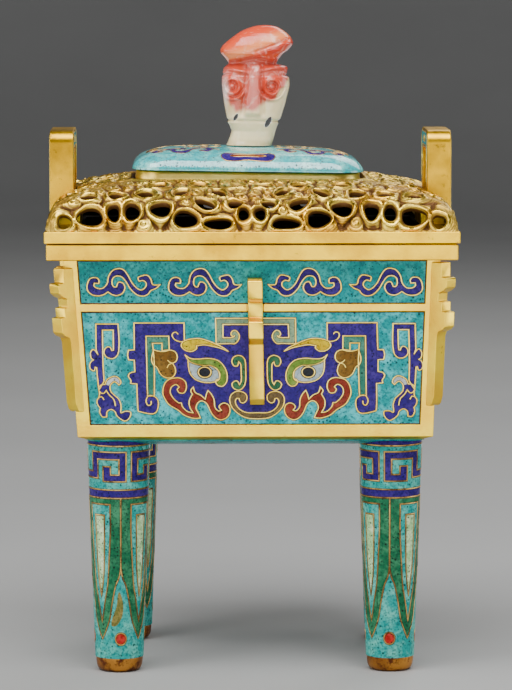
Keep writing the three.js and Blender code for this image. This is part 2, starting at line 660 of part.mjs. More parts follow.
// The nose ridge and the eye bosses stand out of the front by their relief
function finialFace() {
  const { x, low, high, halfLow, halfHigh, relief } = FINIAL_NOSE
  const front = -FINIAL_FACE_DEPTH - relief
  const nose = loft([[low, halfLow], [high, halfHigh]].map(([z, half]) => (
    [[x - half, front], [x + half, front], [x + half, 0], [x - half, 0]].map(([px, py]) => carved(px, py, z)))))
  const eyes = FINIAL_EYES.map((eye) => {
    const outline = (y) => Array.from({ length: FINIAL_EYE_SIDES }, (_, i) => {
      const angle = 2 * Math.PI * i / FINIAL_EYE_SIDES
      return carved(
        eye.x + FINIAL_EYE_RADIUS * Math.cos(angle), y, eye.z + FINIAL_EYE_RADIUS * Math.sin(angle))
    })
    return loft([outline(0), outline(-FINIAL_FACE_DEPTH - FINIAL_EYE_RELIEF)])
  })
  return [nose, ...eyes].map(solidOf)
}

function finial() {
  const body = finialFace().reduce(
    (all, one) => all.add(one), solidOf(loft(FINIAL_BASE_TO_CAP.map(finialSection))),
  )
    .subtract(finialHole(FINIAL_LEFT_HOLE))
    .subtract(finialHole(FINIAL_RIGHT_HOLE))
  return mesh('finial', geometryOf(body), 0xdc7a5e, 0.3, 0)
}

const censer = new THREE.Group()
censer.add(vessel(), rim(), ...legs(), ...flanges(), handle('handle_left', -1), handle('handle_right', 1))
censer.add(lid(), plaque(), finial())

export default censer
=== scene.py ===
# %% [markdown]
# # A cloisonne censer
# The object is a rectangular copper vessel on four round legs. Fine gilt wires are soldered on its
# walls and the cells between them are filled with glass enamel. A cast and gilt openwork lid, an
# enamelled plaque and a carved stone finial stand on top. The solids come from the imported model, and
# each step below gives one kind of surface its real form and finish, in millimetres.

# %% Load the fixed frame
import json
import math

import bmesh
import bpy
import numpy as np
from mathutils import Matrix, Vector
from mathutils.geometry import delaunay_2d_cdt

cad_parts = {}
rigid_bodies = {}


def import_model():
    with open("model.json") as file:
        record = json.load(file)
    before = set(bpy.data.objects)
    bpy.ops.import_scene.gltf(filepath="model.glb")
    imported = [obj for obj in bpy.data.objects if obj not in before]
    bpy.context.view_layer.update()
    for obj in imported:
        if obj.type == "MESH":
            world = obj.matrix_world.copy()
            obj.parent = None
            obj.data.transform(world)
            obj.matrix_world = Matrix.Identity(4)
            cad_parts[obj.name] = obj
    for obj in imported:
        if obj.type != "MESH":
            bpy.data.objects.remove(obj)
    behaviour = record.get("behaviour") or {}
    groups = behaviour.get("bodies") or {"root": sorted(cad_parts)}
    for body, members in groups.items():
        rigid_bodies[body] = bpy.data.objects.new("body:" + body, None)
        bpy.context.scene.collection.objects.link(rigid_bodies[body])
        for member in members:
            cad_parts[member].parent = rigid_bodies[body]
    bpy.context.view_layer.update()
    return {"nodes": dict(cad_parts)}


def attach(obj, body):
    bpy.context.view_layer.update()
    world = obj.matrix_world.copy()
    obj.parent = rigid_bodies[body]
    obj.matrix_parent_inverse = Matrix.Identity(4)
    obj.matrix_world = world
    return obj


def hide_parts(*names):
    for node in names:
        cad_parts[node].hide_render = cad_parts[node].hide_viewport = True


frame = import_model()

MM = 0.001

# %% [markdown]
# ## Camera and light
# The photograph was taken from more than a metre away with a long lens, a little above the rim, so the
# legs hardly converge. A real softbox is a large even source: gilt metal has no colour of its own
# without something bright to mirror, so big area lamps stand where the metal looks at them, and the
# rest of the room is a calm grey that leaves the metal its darker sides.

# %% Camera
def look_at(thing, target):
    """Turns a camera or a lamp so that its -Z axis points from its place to the target."""
    thing.rotation_euler = (Vector(target) - thing.location).to_track_quat("-Z", "Y").to_euler()


camera = bpy.data.objects.new("camera", bpy.data.cameras.new("camera"))
bpy.context.scene.collection.objects.link(camera)
camera.location = (-0.0186, -1.1819, 0.220)
camera.data.lens = 195.1
camera.data.sensor_width = 36
camera.data.clip_end = 20
look_at(camera, (0.00196, 0, 0.0989))
bpy.context.scene.camera = camera

# %% Lamps, room light and floor
LAMP_TARGET = (0, 0, 0.1)
# Name, place in metres, width and height in metres, watts. The corner flanges mirror the left and right
# lamps. The last two are cards that lie on the table out of the picture and shine up: the walls lean, so
# their gilt mirrors the table.
LAMPS = [
    ("key", (-0.1, -0.5, 1.12), (1.3, 0.74), 29),
    ("side", (-1.15, -0.85, 0.55), (0.5, 0.9), 5),
    ("card", (0.0, -1.45, 0.12), (1.7, 0.5), 7.5),
    ("left", (-1.25, -0.02, 0.14), (0.9, 0.7), 8),
    ("right", (1.25, -0.02, 0.14), (0.9, 0.7), 8),
    ("back", (0.5, 0.9, 0.9), (0.9, 0.6), 6),
    ("table_front", (0, -0.62, 0.003), (1.5, 0.66), 8.0),
    ("table_rear", (0, 0.68, 0.003), (1.5, 0.6), 2.5),
]
for name, place, (width, height), watts in LAMPS:
    lamp = bpy.data.objects.new(name, bpy.data.lights.new(name, "AREA"))
    lamp.data.shape, lamp.data.size, lamp.data.size_y, lamp.data.energy = "RECTANGLE", width, height, watts
    lamp.location = place
    bpy.context.scene.collection.objects.link(lamp)
    if name.startswith("table"):
        lamp.rotation_euler = (math.pi, 0, 0)
    else:
        look_at(lamp, LAMP_TARGET)

world = bpy.data.worlds.new("studio")
world.use_nodes = True
world.node_tree.nodes["Background"].inputs["Color"].default_value = (0.50, 0.51, 0.53, 1)
world.node_tree.nodes["Background"].inputs["Strength"].default_value = 0.3
bpy.context.scene.world = world


def linear(colour):
    """An sRGB hex colour as linear RGBA: c / 12.92 where c is small, else ((c + 0.055) / 1.055) ** 2.4."""
    c = np.array([int(colour[i:i + 2], 16) for i in (1, 3, 5)]) / 255
    return (*np.where(c <= 0.04045, c / 12.92, ((c + 0.055) / 1.055) ** 2.4).tolist(), 1.0)


def add(tree, kind, inputs=None, **settings):
    """Adds a shader node, sets its properties, and gives each input a value or a link. Returns its
    outputs."""
    made = tree.nodes.new("ShaderNode" + kind)
    for name, value in settings.items():
        setattr(made, name, value)
    for name, value in (inputs or {}).items():
        if isinstance(value, bpy.types.NodeSocket):
            tree.links.new(value, made.inputs[name])
        else:
            made.inputs[name].default_value = value
    return made.outputs


def blank(name):
    """A new material with an empty node tree; returns both."""
    material = bpy.data.materials.new(name)
    material.use_nodes = True
    material.node_tree.nodes.clear()
    return material, material.node_tree


def noise(tree, at, size, detail, **more):
    """Soft noise from 0 to 1 whose largest grains are size mm wide."""
    return add(tree, "TexNoise", {"Vector": at, "Scale": 1 / (size * MM), "Detail": detail, **more})["Fac"]


def ramp(tree, value, start=0.0, end=1.0, low=0.0, high=1.0):
    """Stretches the values from start to end so that they run from low to high, and holds them beyond."""
    return add(tree, "MapRange", {"Value": value, "From Min": start, "From Max": end,
                                  "To Min": low, "To Max": high})["Result"]


def mix(tree, share, one, other):
    """one + (other - one) * share for two colours, each an sRGB hex colour or a node's output."""
    one, other = (linear(colour) if isinstance(colour, str) else colour for colour in (one, other))
    return add(tree, "Mix", {0: share, 6: one, 7: other}, data_type="RGBA")[2]


def maths(tree, operation, *values):
    return add(tree, "Math", dict(enumerate(values)), operation=operation)["Value"]


# Painted board: matt, with the faint cloudiness of a rolled coat
floor_paint, tree = blank("painted_board")
cloud = noise(tree, add(tree, "TexCoord")["Object"], 1000 / 6, 3.0)
tint = mix(tree, cloud, "#8c8c8b", "#979796")
shader = add(tree, "BsdfPrincipled", {"Base Color": tint, "Roughness": 0.6})["BSDF"]
add(tree, "OutputMaterial", {"Surface": shader})


def strips(rows, width, closed=False):
    """Faces between rings of width points each: a point, the next one in its ring, and the same two in
    the next ring, backwards. With closed, the last ring meets the first."""
    i, j = np.meshgrid(np.arange(rows if closed else rows - 1), np.arange(width), indexing="ij")
    after, beside = (i + 1) % rows, (j + 1) % width
    return np.stack([i * width + j, i * width + beside, after * width + beside, after * width + j],
                    axis=-1).reshape(-1, 4)


# The board runs level to 2 m and then curves up like a photographer's paper sweep, on all sides
ROUND = 96              # points of each of its rings
sweep = np.array([(0.0, 0.0), (0.3, 0.0), (0.8, 0.0), (1.4, 0.0), (2.0, 0.0)]
                 + [(2.0 + 1.2 * math.sin(a), 1.2 - 1.2 * math.cos(a)) for a in np.radians(range(10, 91, 10))]
                 + [(3.2, 2.2)])
angle = np.arange(ROUND) * 2 * np.pi / ROUND
sweep_points = np.stack([sweep[:, :1] * np.cos(angle), sweep[:, :1] * np.sin(angle),
                         np.broadcast_to(sweep[:, 1:], (len(sweep), ROUND))], axis=-1).reshape(-1, 3)
sweep_faces = strips(len(sweep), ROUND)[:, [0, 3, 2, 1]]
floor_mesh = bpy.data.meshes.new("floor")
floor_mesh.from_pydata(sweep_points.tolist(), [], sweep_faces.tolist())
floor_mesh.shade_smooth()
floor_mesh.materials.append(floor_paint)
floor = bpy.data.objects.new("floor", floor_mesh)
bpy.context.scene.collection.objects.link(floor)

# %% [markdown]
# ## Finishes
# Cloisonne enamel is opaque coloured glass, ground to powder, packed into cells and fired several
# times, then polished flat with the wires. It is glossy but not like a window: bubbles that burst in
# the kiln leave pits all over, dark with old polish and soot, and the colour drifts in soft clouds.
# Gilding is a skin of gold a few thousandths of a millimetre thick, so copper shows where it wore.

# %% Enamels
PIT_CELL = 1.1          # mm between pits
PIT_RADIUS = 0.25       # share of that distance
PIT_DIRT = "#0e1512"


def enamel(name, body, cloud, shade, cloud_size=6.0, pits=0.5, roughness=0.2, shine=0.06):
    """Opaque glass enamel: a body colour that drifts to a paler cloud over cloud_size mm and to a darker
    shade in fine grains, with dark pits in a share of the cells of a pattern of PIT_CELL."""
    material, tree = blank(name)
    at = add(tree, "TexCoord")["Object"]
    pale = ramp(tree, noise(tree, at, cloud_size, 5.0, Roughness=0.62), 0.44, 0.64)
    dark = ramp(tree, noise(tree, at, 0.8, 3.0), 0.46, 0.68, high=0.7)
    colour = mix(tree, dark, mix(tree, pale, body, cloud), shade)
    cells = add(tree, "TexVoronoi", {"Vector": at, "Scale": 1 / (PIT_CELL * MM), "Randomness": 1.0})
    chance = add(tree, "SeparateColor", {"Color": cells["Color"]})
    some = maths(tree, "GREATER_THAN", chance["Red"], 1 - pits)
    radius = ramp(tree, chance["Green"], low=0.4 * PIT_RADIUS, high=1.25 * PIT_RADIUS)
    hollow = ramp(tree, maths(tree, "DIVIDE", cells["Distance"], radius), 1.25, 0.7)
    pit = maths(tree, "MULTIPLY", hollow, some)
    colour = mix(tree, maths(tree, "MULTIPLY", pit, 0.8), colour, PIT_DIRT)
    gloss = ramp(tree, pit, low=roughness, high=0.75)
    height = maths(tree, "MULTIPLY_ADD", pit, -1.0, noise(tree, at, 1.6, 2.0))
    bump = add(tree, "Bump", {"Height": height, "Strength": 0.35, "Distance": 0.12 * MM})["Normal"]
    shader = add(tree, "BsdfPrincipled", {"Base Color": colour, "Roughness": gloss, "IOR": 1.52,
                                          "Specular IOR Level": shine, "Normal": bump})["BSDF"]
    add(tree, "OutputMaterial", {"Surface": shader})
    return material


ENAMELS = {
    # Copper turquoise: the ground of the whole object, with milky clouds
    "turquoise": enamel("turquoise_enamel", "#0d8686", "#44bcc0", "#054a52", cloud_size=5.0, pits=0.8),
    # Thicker, milkier and glossier on the plaque
    "plaque_blue": enamel("plaque_turquoise_enamel", "#2da4a8", "#80d0c8", "#0f727c", pits=0.95,
                          roughness=0.1, shine=1.0),
    # The same glass fired deeper, on the frieze
    "teal": enamel("teal_enamel", "#0c8484", "#30a6a3", "#044c56", cloud_size=5.0, pits=0.8),
    # Cobalt blue, almost violet, where the eye reads the scrolls
    "lapis": enamel("cobalt_enamel", "#281867", "#3e2b7a", "#150c3b", cloud_size=3.0, pits=0.55),
    "strip": enamel("sea_green_enamel", "#286857", "#4d846e", "#1a4d44", pits=0.6),
    "sage": enamel("sage_enamel", "#6a866a", "#8ba27a", "#48675b", pits=0.6),
    "yellow": enamel("antimony_yellow_enamel", "#bc9a00", "#d0b808", "#74600a", pits=0.8),
    "lid_green": enamel("leaf_green_enamel", "#5f7d29", "#7d9544", "#415b1e", pits=0.4),
    "scroll": enamel("bottle_green_enamel", "#255b3d", "#41714b", "#183f30", pits=0.5),
    "ochre": enamel("ochre_enamel", "#684814", "#7f6025", "#433011", pits=0.5),
    "brown": enamel("umber_enamel", "#5a4a30", "#75633c", "#382c1c", pits=0.4),
    "red": enamel("iron_red_enamel", "#742718", "#863a29", "#4b1811", pits=0.45),
    "white": enamel("bluish_white_enamel", "#91a2a5", "#b2bcb8", "#6b8186", pits=0.4),
    "grey": enamel("grey_white_enamel", "#98a0a4", "#bcc0be", "#6c747a", pits=0.4),
    "black": enamel("black_enamel", "#101218", "#1c2028", "#07080a", pits=0.1, roughness=0.15, shine=0.1),
    "leg_blue": enamel("pale_turquoise_enamel", "#20938c", "#5ebcac", "#0b5658", cloud_size=4.0, pits=0.9),
    "leg_green": enamel("malachite_enamel", "#1a5e3e", "#397e58", "#0d3528", cloud_size=4.0, pits=0.85),
    "pale_green": enamel("pale_green_enamel", "#9cc68a", "#dcecc0", "#5c8c60", cloud_size=4.0, pits=0.9),
    "dot_red": enamel("sealing_red_enamel", "#a8201c", "#c03a30", "#6c1614", pits=0.6),
    "loss": enamel("bare_earthy_ground", "#6d6a34", "#948048", "#43421f", cloud_size=2.5, pits=0.9,
                   roughness=0.5),
}

# %% Gilt metal
CHASED_LINE = 1.0       # mm between the chaser's lines round the lid's openings


def gilding(name, bright, shade, copper, wear=0.55, roughness=0.3, grain_size=0.7, depth=0.05, painted_hollow_shade=None):
    """Mercury-gilt copper: two golds that drift over 12 mm, copper where a fine noise passes the wear
    threshold, and a bump of grain_size mm for the burnished casting below the gold. Given a colour for the
    hollows, that colour lies as a brown painted shade where the attribute "relief" of the mesh is low, and
    the chaser's lines run where the attribute "reach", a distance in mm, passes another CHASED_LINE, as a
    bump and in the same painted shade."""
    material, tree = blank(name)
    at = add(tree, "TexCoord")["Object"]
    share = ramp(tree, noise(tree, at, 12, 4.0), 0.4, 0.62)
    rub = noise(tree, at, 3.5, 8.0, Roughness=0.7)
    worn = ramp(tree, rub, wear, wear + 0.12)
    colour = mix(tree, worn, mix(tree, share, bright, shade), copper)
    low = lines = 0.0
    if painted_hollow_shade:
        # Painted shade: the low parts of the casting and the troughs of the chased lines take a brown that
        # stands for their shadow
        relief = add(tree, "Attribute", attribute_name="relief")["Fac"]
        low = ramp(tree, maths(tree, "MULTIPLY_ADD", rub, 0.9, relief), 0.84, 0.0)
        reach = add(tree, "Attribute", attribute_name="reach")["Fac"]
        lines = maths(tree, "COSINE", maths(tree, "MULTIPLY", reach, 2 * math.pi / CHASED_LINE))
        cut = ramp(tree, lines, -0.1, -1.0, high=0.6)
        colour = mix(tree, cut, mix(tree, low, colour, painted_hollow_shade), painted_hollow_shade)
    grain = noise(tree, at, grain_size, 4.0)
    spread = ramp(tree, grain, low=roughness - 0.08, high=roughness + 0.14)
    rough = maths(tree, "MULTIPLY_ADD", low, 0.3, maths(tree, "MULTIPLY_ADD", worn, 0.15, spread))
    metal = maths(tree, "MULTIPLY_ADD", low, -0.4, 1.0)
    chased = maths(tree, "MULTIPLY_ADD", lines, 0.9, grain)
    bump = add(tree, "Bump", {"Height": chased, "Strength": 0.7, "Distance": depth * MM})["Normal"]
    shader = add(tree, "BsdfPrincipled", {"Base Color": colour, "Metallic": metal, "Roughness": rough,
                                          "Normal": bump})["BSDF"]
    add(tree, "OutputMaterial", {"Surface": shader})
    return material


# Burnished gilding on the bars and flanges, bright and pale
plate_gilt = gilding("burnished_gilding", "#ffdc38", "#f0c02a", "#a87828", wear=0.64)
# The rim, the lid's band and the handles take a darker gold that leans to olive: painted shade, standing for
# the darker look these faces have under the lamps. They were also touched more, so copper shows more often
# where their gold wore
rim_gilt_with_painted_shade = gilding("olive_gilding_with_painted_shade", "#fbcc10", "#d8a40a", "#8c6a1c", wear=0.62)
handle_gilt_with_painted_shade = gilding("handle_olive_gilding_with_painted_shade", "#dcac12", "#a87e08", "#745616", wear=0.58)
wire_gilt = gilding("gilt_wire", "#ffe678", "#f8d052", "#b8853a", wear=0.62)
leg_wire = gilding("coppery_wire", "#dcb468", "#94703c", "#5c4226", wear=0.5, roughness=0.34)
foot_copper = gilding("worn_copper_foot", "#c8893a", "#8f5828", "#603420", wear=0.48, roughness=0.38,
                      depth=0.12)
# Cast and chased gilding of the lid: gold on the heights, and a brown painted shade in the hollows and the
# chased lines
cast_gilt = gilding("cast_gilding", "#ffdc54", "#ecb430", "#b4843c", wear=0.6, roughness=0.25, depth=0.06,
                    painted_hollow_shade="#5c3a10")
# The inside of the lid and the vessel is near black: partly a film of incense soot, partly painted shade of
# the dark interior seen through the openings. A dull film, not a mirror
soot_and_shade = enamel("incense_soot_and_painted_shade", "#17110b", "#221a11", "#0b0806", cloud_size=4.0, pits=0.0, roughness=0.8,
              shine=0.1)
# Oxide that creeps out of the solder along every wire: it draws a thin brown line round each cell
solder_line = enamel("brown_solder_line", "#4a3016", "#6c4a24", "#24180e", cloud_size=2.0, pits=0.0,
                     roughness=0.45)
print("finishes:", len(bpy.data.materials))

# %% [markdown]
# ## Turning numbers into meshes
# Every surface below is worked out in numpy as whole arrays of points, in millimetres, and one function
# puts the arrays into a mesh. The object stays at the origin, so its place is in its mesh.

# %% Mesh helper
def piece(name, points, groups, materials, smooth_below=40, replaces=()):
    """One object from points in mm and groups of (faces, material number): each faces array holds the
    corners of faces with the same number of corners, and the number is one or one for each face."""
    mesh = bpy.data.meshes.new(name)
    points = np.asarray(points, float).reshape(-1, 3)
    corners = np.concatenate([np.asarray(faces).ravel() for faces, _ in groups])
    sizes = np.concatenate([np.full(len(faces), len(faces[0])) for faces, _ in groups])
    numbers = np.concatenate([np.broadcast_to(number, len(faces)) for faces, number in groups])
    mesh.vertices.add(len(points))
    mesh.vertices.foreach_set("co", (points * MM).ravel())
    mesh.loops.add(len(corners))
    mesh.loops.foreach_set("vertex_index", corners.astype(np.int32))
    mesh.polygons.add(len(sizes))
    mesh.polygons.foreach_set("loop_start", np.concatenate([[0], np.cumsum(sizes)[:-1]]).astype(np.int32))
    mesh.polygons.foreach_set("material_index", numbers.astype(np.int32))
    mesh.update(calc_edges=True)
    mesh.validate()
    mesh.shade_smooth()
    mesh.set_sharp_from_angle(angle=math.radians(smooth_below))
    for material in materials:
        mesh.materials.append(material)
    made = bpy.data.objects.new(name, mesh)
    bpy.context.scene.collection.objects.link(made)
    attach(made, "root")
    if replaces:
        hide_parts(*replaces)
    return made


# %% [markdown]
# ## Gilt bars, plates and handles
# The plates were cast or cut, filed and burnished, so no edge is a knife edge: light catches a narrow
# round along each of them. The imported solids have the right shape, so a copy of each is merged, its
# flat faces are joined, and a live Bevel modifier of a quarter millimetre rounds the edges.

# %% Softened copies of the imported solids
def rebuilt(mesh, merge=0.0, flat=False, paint=None):
    """Merges points closer than merge metres, joins faces that lie within a degree of one plane, and lets
    paint set the faces' material numbers."""
    build = bmesh.new()
    build.from_mesh(mesh)
    if merge:
        bmesh.ops.remove_doubles(build, verts=build.verts, dist=merge)
    if flat:
        bmesh.ops.dissolve_limit(build, angle_limit=math.radians(1.0), verts=build.verts, edges=build.edges)
    if paint:
        for face in build.faces:
            face.material_index = paint(face.calc_center_median(), face.normal)
    open_edges = sum(not edge.is_manifold for edge in build.edges)
    build.to_mesh(mesh)
    build.free()
    return open_edges


def rounded(made, width, from_angle=30):
    """A live Bevel modifier of width mm on the edges that turn by more than from_angle degrees."""
    bevel = made.modifiers.new("rounded_edges", "BEVEL")
    bevel.width, bevel.segments, bevel.limit_method = width * MM, 2, "ANGLE"
    bevel.angle_limit = math.radians(from_angle)
    bevel.harden_normals = True


def inner_face(middle, normal):
    """1 for a face that looks at the upright axis and for the floor that such faces stand on, else 0."""
    inward = normal.x * middle.x + normal.y * middle.y < 0 and abs(normal.z) < 0.7
    return int(inward or (normal.z > 0.7 and middle.z < 0.1))


def softened(node, material, width, lining=None):
    """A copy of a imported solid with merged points, joined flat faces and a Bevel of width mm. With lining,
    its inner faces take that second finish."""
    mesh = frame["nodes"][node].data.copy()
    rebuilt(mesh, merge=2e-6, flat=True, paint=inner_face if lining else None)
    mesh.materials.clear()
    mesh.materials.append(material)
    if lining:
        mesh.materials.append(lining)
    mesh.shade_smooth()
    mesh.set_sharp_from_angle(angle=math.radians(30))
    made = bpy.data.objects.new(node + "_gilt", mesh)
    bpy.context.scene.collection.objects.link(made)
    rounded(made, width, from_angle=28)
    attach(made, "root")
    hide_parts(node)
    return made


CORNERS = ["front_left", "front_right", "rear_left", "rear_right"]
SIDE_NAMES = ["front", "right", "rear", "left"]
# The inner faces of the vessel and the rim take the near-black lining: soot and painted shade
softened("vessel", plate_gilt, 0.15, lining=soot_and_shade)
# The rim in the darker olive gold of painted shade
softened("rim", rim_gilt_with_painted_shade, 0.35, lining=soot_and_shade)
for corner in CORNERS:
    softened("corner_flange_" + corner, plate_gilt, 0.3)
for side in SIDE_NAMES:
    softened("centre_flange_" + side, plate_gilt, 0.3)
# The handles in the darker olive gold of painted shade
for end in ("left", "right"):
    softened("handle_" + end, handle_gilt_with_painted_shade, 0.3)

# %% [markdown]
# ## The walls as a drawing board
# A wall of the vessel is flat but leans, because the mouth is wider than the foot and the whole body
# was soldered on a little askew. The motifs are drawn once, in millimetres from the axis of the middle
# flange and in millimetres over the ground, and one function puts that drawing on any of the four walls.

# %% Place on a wall
MOUTH_Z, BASE_Z = 129.4, 74.7
MOUTH_HALF, BASE_HALF = np.array([57.6, 44.0]), np.array([54.65, 41.0])
LEAN = 1.1              # how far the base's middle stands to the right of the mouth's
FLANGE_ASIDE = 0.7      # how far the front and rear flanges stand to the right of the middle
SUNK = 0.4              # depth of the fields between the gilt bars
CORNER_BAR = 4.1
FIELDS = {"panel": (78.4, 113.6), "frieze": (115.9, MOUTH_Z)}


def taper(z):
    return (np.asarray(z, float) - BASE_Z) / (MOUTH_Z - BASE_Z)


def half_at(z, axis):
    """Half size of the vessel at a height: it grows in proportion from the foot to the mouth."""
    return BASE_HALF[axis] + (MOUTH_HALF[axis] - BASE_HALF[axis]) * taper(z)


def on_wall(side):
    """side 0 is the front, 1 the right, 2 the rear and 3 the left. The point u along the wall, z up and h
    out of the sunk field is the wall's middle plus u times the direction to the right as one looks at
    that wall, plus its distance from the middle times the outward direction."""
    turn = math.radians(90 * side)
    right, out = np.array([math.cos(turn), math.sin(turn)]), np.array([math.sin(turn), -math.cos(turn)])
    aside = FLANGE_ASIDE if side % 2 == 0 else 0.0

    def place(u, z, h):
        off = half_at(z, 1 - side % 2) - SUNK + h
        x = LEAN * (1 - taper(z)) + aside + u * right[0] + off * out[0]
        return np.stack(np.broadcast_arrays(x, u * right[1] + off * out[1], z), axis=-1)
    return place


def field_outline(side, low, high):
    """The four corners of a sunk field in that wall's drawing, inside the corner bars."""
    aside = [FLANGE_ASIDE, 0, -FLANGE_ASIDE, 0][side]
    half = [half_at(z, side % 2) - CORNER_BAR for z in (low, high)]
    return np.array([[-half[0] - aside, low], [half[0] - aside, low],
                     [half[1] - aside, high], [-half[1] - aside, high]])


# %% [markdown]
# ## Drawing with wires
# The maker bends each wire on edge along a drawn line, glues and solders it, and then fills the cells.
# The code goes the same way. A line is a few points with a smooth curve through them, and a third
# number marks a corner. The lines cut the field into triangles that never cross them, so each colour
# ends exactly under the middle of its wire.

# %% Smooth lines
def curve(path, closed=True, samples=6):
    """A Catmull-Rom curve: between two points it is the cubic whose slope at each is half the step between
    that point's neighbours. A corner has no neighbour across it, so the curve stops and turns there."""
    points = np.array([p[:2] for p in path], float)
    corner = np.array([len(p) == 3 for p in path])
    if closed:
        points, corner = np.vstack([points, points[:1]]), np.append(corner, corner[0])
    before = np.vstack([points[-2] if closed else points[0], points[:-2]])
    after = np.vstack([points[2:], points[1] if closed else points[-1]])
    start, end = points[:-1], points[1:]
    before = np.where(corner[:-1, None], start, before)[:, None]
    after = np.where(corner[1:, None], end, after)[:, None]
    start, end = start[:, None], end[:, None]
    t = (np.arange(samples) / samples)[None, :, None]
    bent = 0.5 * (2 * start + (end - before) * t + (2 * before - 5 * start + 4 * end - after) * t ** 2
                  + (3 * start - before - 3 * end + after) * t ** 3)
    line = bent.reshape(-1, 2)
    if not closed:
        line = np.vstack([line, points[-1]])
    step = np.linalg.norm(np.diff(line, axis=0), axis=1)
    return line[np.append(True, step > 0.04)]


def dense(line, step, closed=True):
    """The same straight pieces with more points, so that no two neighbours are further apart than step."""
    ends = np.vstack([line, line[:1]]) if closed else line
    length = np.linalg.norm(np.diff(ends, axis=0), axis=1)
    count = np.maximum(np.ceil(length / step), 1).astype(int)
    start = np.repeat(np.arange(len(count)), count)
    share = (np.arange(count.sum()) - np.repeat(np.cumsum(count) - count, count)) / count[start]
    points = ends[start] + (ends[start + 1] - ends[start]) * share[:, None]
    return points if closed else np.vstack([points, ends[-1]])


def mirrored(line):
    """The same line on the other side of the axis, run through backwards."""
    return (line * [-1, 1])[::-1]


def inside(spots, loop):
    """Even-odd rule: a spot lies inside where a ray to its right crosses the loop an odd number of times."""
    x, y = spots[:, :1], spots[:, 1:]
    ax, ay = loop.T
    bx, by = np.roll(loop, -1, axis=0).T
    height = np.where(by == ay, 1, by - ay)
    crossed = ((ay > y) != (by > y)) & (x < (bx - ax) * (y - ay) / height + ax)
    return crossed.sum(axis=1) % 2 == 1


# %% Cut sheets and enamel slabs
def cut_sheet(outline, holes=(), lines=(), spots=None):
    """Triangles that fill the outline and leave the holes free. A constrained Delaunay triangulation takes
    all lines as edges, and a triangle is kept where its middle lies in the outline and in no hole. Gives
    the flat points, the triangles, and the point number of each point of the outline and of the holes."""
    flat, edges, first = [], [], 0
    for line, closed in [(outline, True)] + [(hole, True) for hole in holes] + list(lines):
        run = np.arange(first, first + len(line))
        pairs = np.stack([run, np.roll(run, -1)], axis=1)
        edges.append(pairs if closed else pairs[:-1])
        flat.append(line)
        first += len(line)
    if spots is not None:
        flat.append(spots)
    found = delaunay_2d_cdt([Vector(p) for p in np.vstack(flat).tolist()], np.vstack(edges).tolist(), [],
                            0, 1e-4)
    points, faces = np.array([tuple(p) for p in found[0]]), np.array(found[2])
    number = np.zeros(sum(len(line) for line in flat), int)
    given = [len(origins) for origins in found[3]]
    number[np.concatenate([origins for origins in found[3] if origins]).astype(int)] = np.repeat(
        np.arange(len(points)), given)
    middles = points[faces].mean(axis=1)
    kept = inside(middles, outline)
    for hole in holes:
        close = (np.abs(middles - hole.mean(axis=0)) <= np.ptp(hole, axis=0)).all(axis=1)
        near = np.flatnonzero(kept & close)
        kept[near[inside(middles[near], hole)]] = False
    starts = np.cumsum([0, len(outline)] + [len(hole) for hole in holes])
    return points, faces[kept], [number[a:b] for a, b in zip(starts[:-1], starts[1:])]


def enamel_slab(name, outline, regions, lines, place, top, ground, spots=None, foot=0.0):
    """A closed slab of enamel. A triangle takes the colour of the last region that holds its middle. The
    same triangles turned over make the underside, and a skirt closes the rim between the two."""
    chains = [(line, True) for line, _ in regions] + [(line, False) for line in lines]
    flat, faces, (rim,) = cut_sheet(outline, lines=chains, spots=spots)
    middles = flat[faces].mean(axis=1)
    colours, number = [ground], np.zeros(len(faces), int)
    for line, colour in regions:
        if colour not in colours:
            colours.append(colour)
        near = np.flatnonzero(((middles >= line.min(axis=0)) & (middles <= line.max(axis=0))).all(axis=1))
        number[near[inside(middles[near], line)]] = colours.index(colour)
    sides = np.concatenate([faces[:, [0, 1]], faces[:, [1, 2]], faces[:, [2, 0]]])
    _, index, times = np.unique(np.sort(sides, axis=1), axis=0, return_index=True, return_counts=True)
    rim, count = sides[index[times == 1]], len(flat)
    skirt = np.stack([rim[:, 1], rim[:, 0], rim[:, 0] + count, rim[:, 1] + count], axis=1)
    points = np.concatenate([place(flat[:, 0], flat[:, 1], np.full(count, float(height)))
                             for height in (top, foot)])
    groups = [(faces, number), (faces[:, ::-1] + count, 0), (skirt, 0)]
    return piece(name, points, groups, [ENAMELS[colour] for colour in colours], smooth_below=50)


# %% Wires
# The wire's section, from its left to its right: aside and out, in mm. The two outer strips are the brown
# solder line, and the middle is the polished gilt top
WIRE_SECTION = np.array([(0.33, -0.03), (0.30, 0.012), (0.17, 0.02), (0.155, 0.07), (0.08, 0.10),
                         (-0.08, 0.10), (-0.155, 0.07), (-0.17, 0.02), (-0.30, 0.012), (-0.33, -0.03)])
WIRE_FINISH = np.array([1, 1, 0, 0, 0, 0, 0, 1, 1, 1])     # 0 gilt, 1 solder line


def swept(line, closed, section, scale=(1.0, 1.0)):
    """The section carried along a line in the drawing: each of its points stands aside of the line along
    the bisector of the two pieces that meet there, lengthened by one over the cosine of half the turn.
    scale then narrows that offset across and up the drawing, where the wires are thinner."""
    if closed:
        ahead = np.roll(line, -1, axis=0) - line
        ahead /= np.linalg.norm(ahead, axis=1, keepdims=True)
        behind = np.roll(ahead, 1, axis=0)
    else:
        ahead = np.diff(line, axis=0)
        ahead /= np.linalg.norm(ahead, axis=1, keepdims=True)
        ahead, behind = np.vstack([ahead, ahead[-1]]), np.vstack([ahead[0], ahead])
    mean = ahead + behind
    mean /= np.maximum(np.linalg.norm(mean, axis=1, keepdims=True), 1e-6)
    mitre = 1 / np.maximum((mean * ahead).sum(axis=1), 0.55)
    left = np.stack([-mean[:, 1], mean[:, 0]], axis=1) * mitre[:, None]
    aside = line[:, None] + left[:, None] * section[None, :, :1] * np.array(scale)
    return aside, np.broadcast_to(section[:, 1], aside.shape[:2])


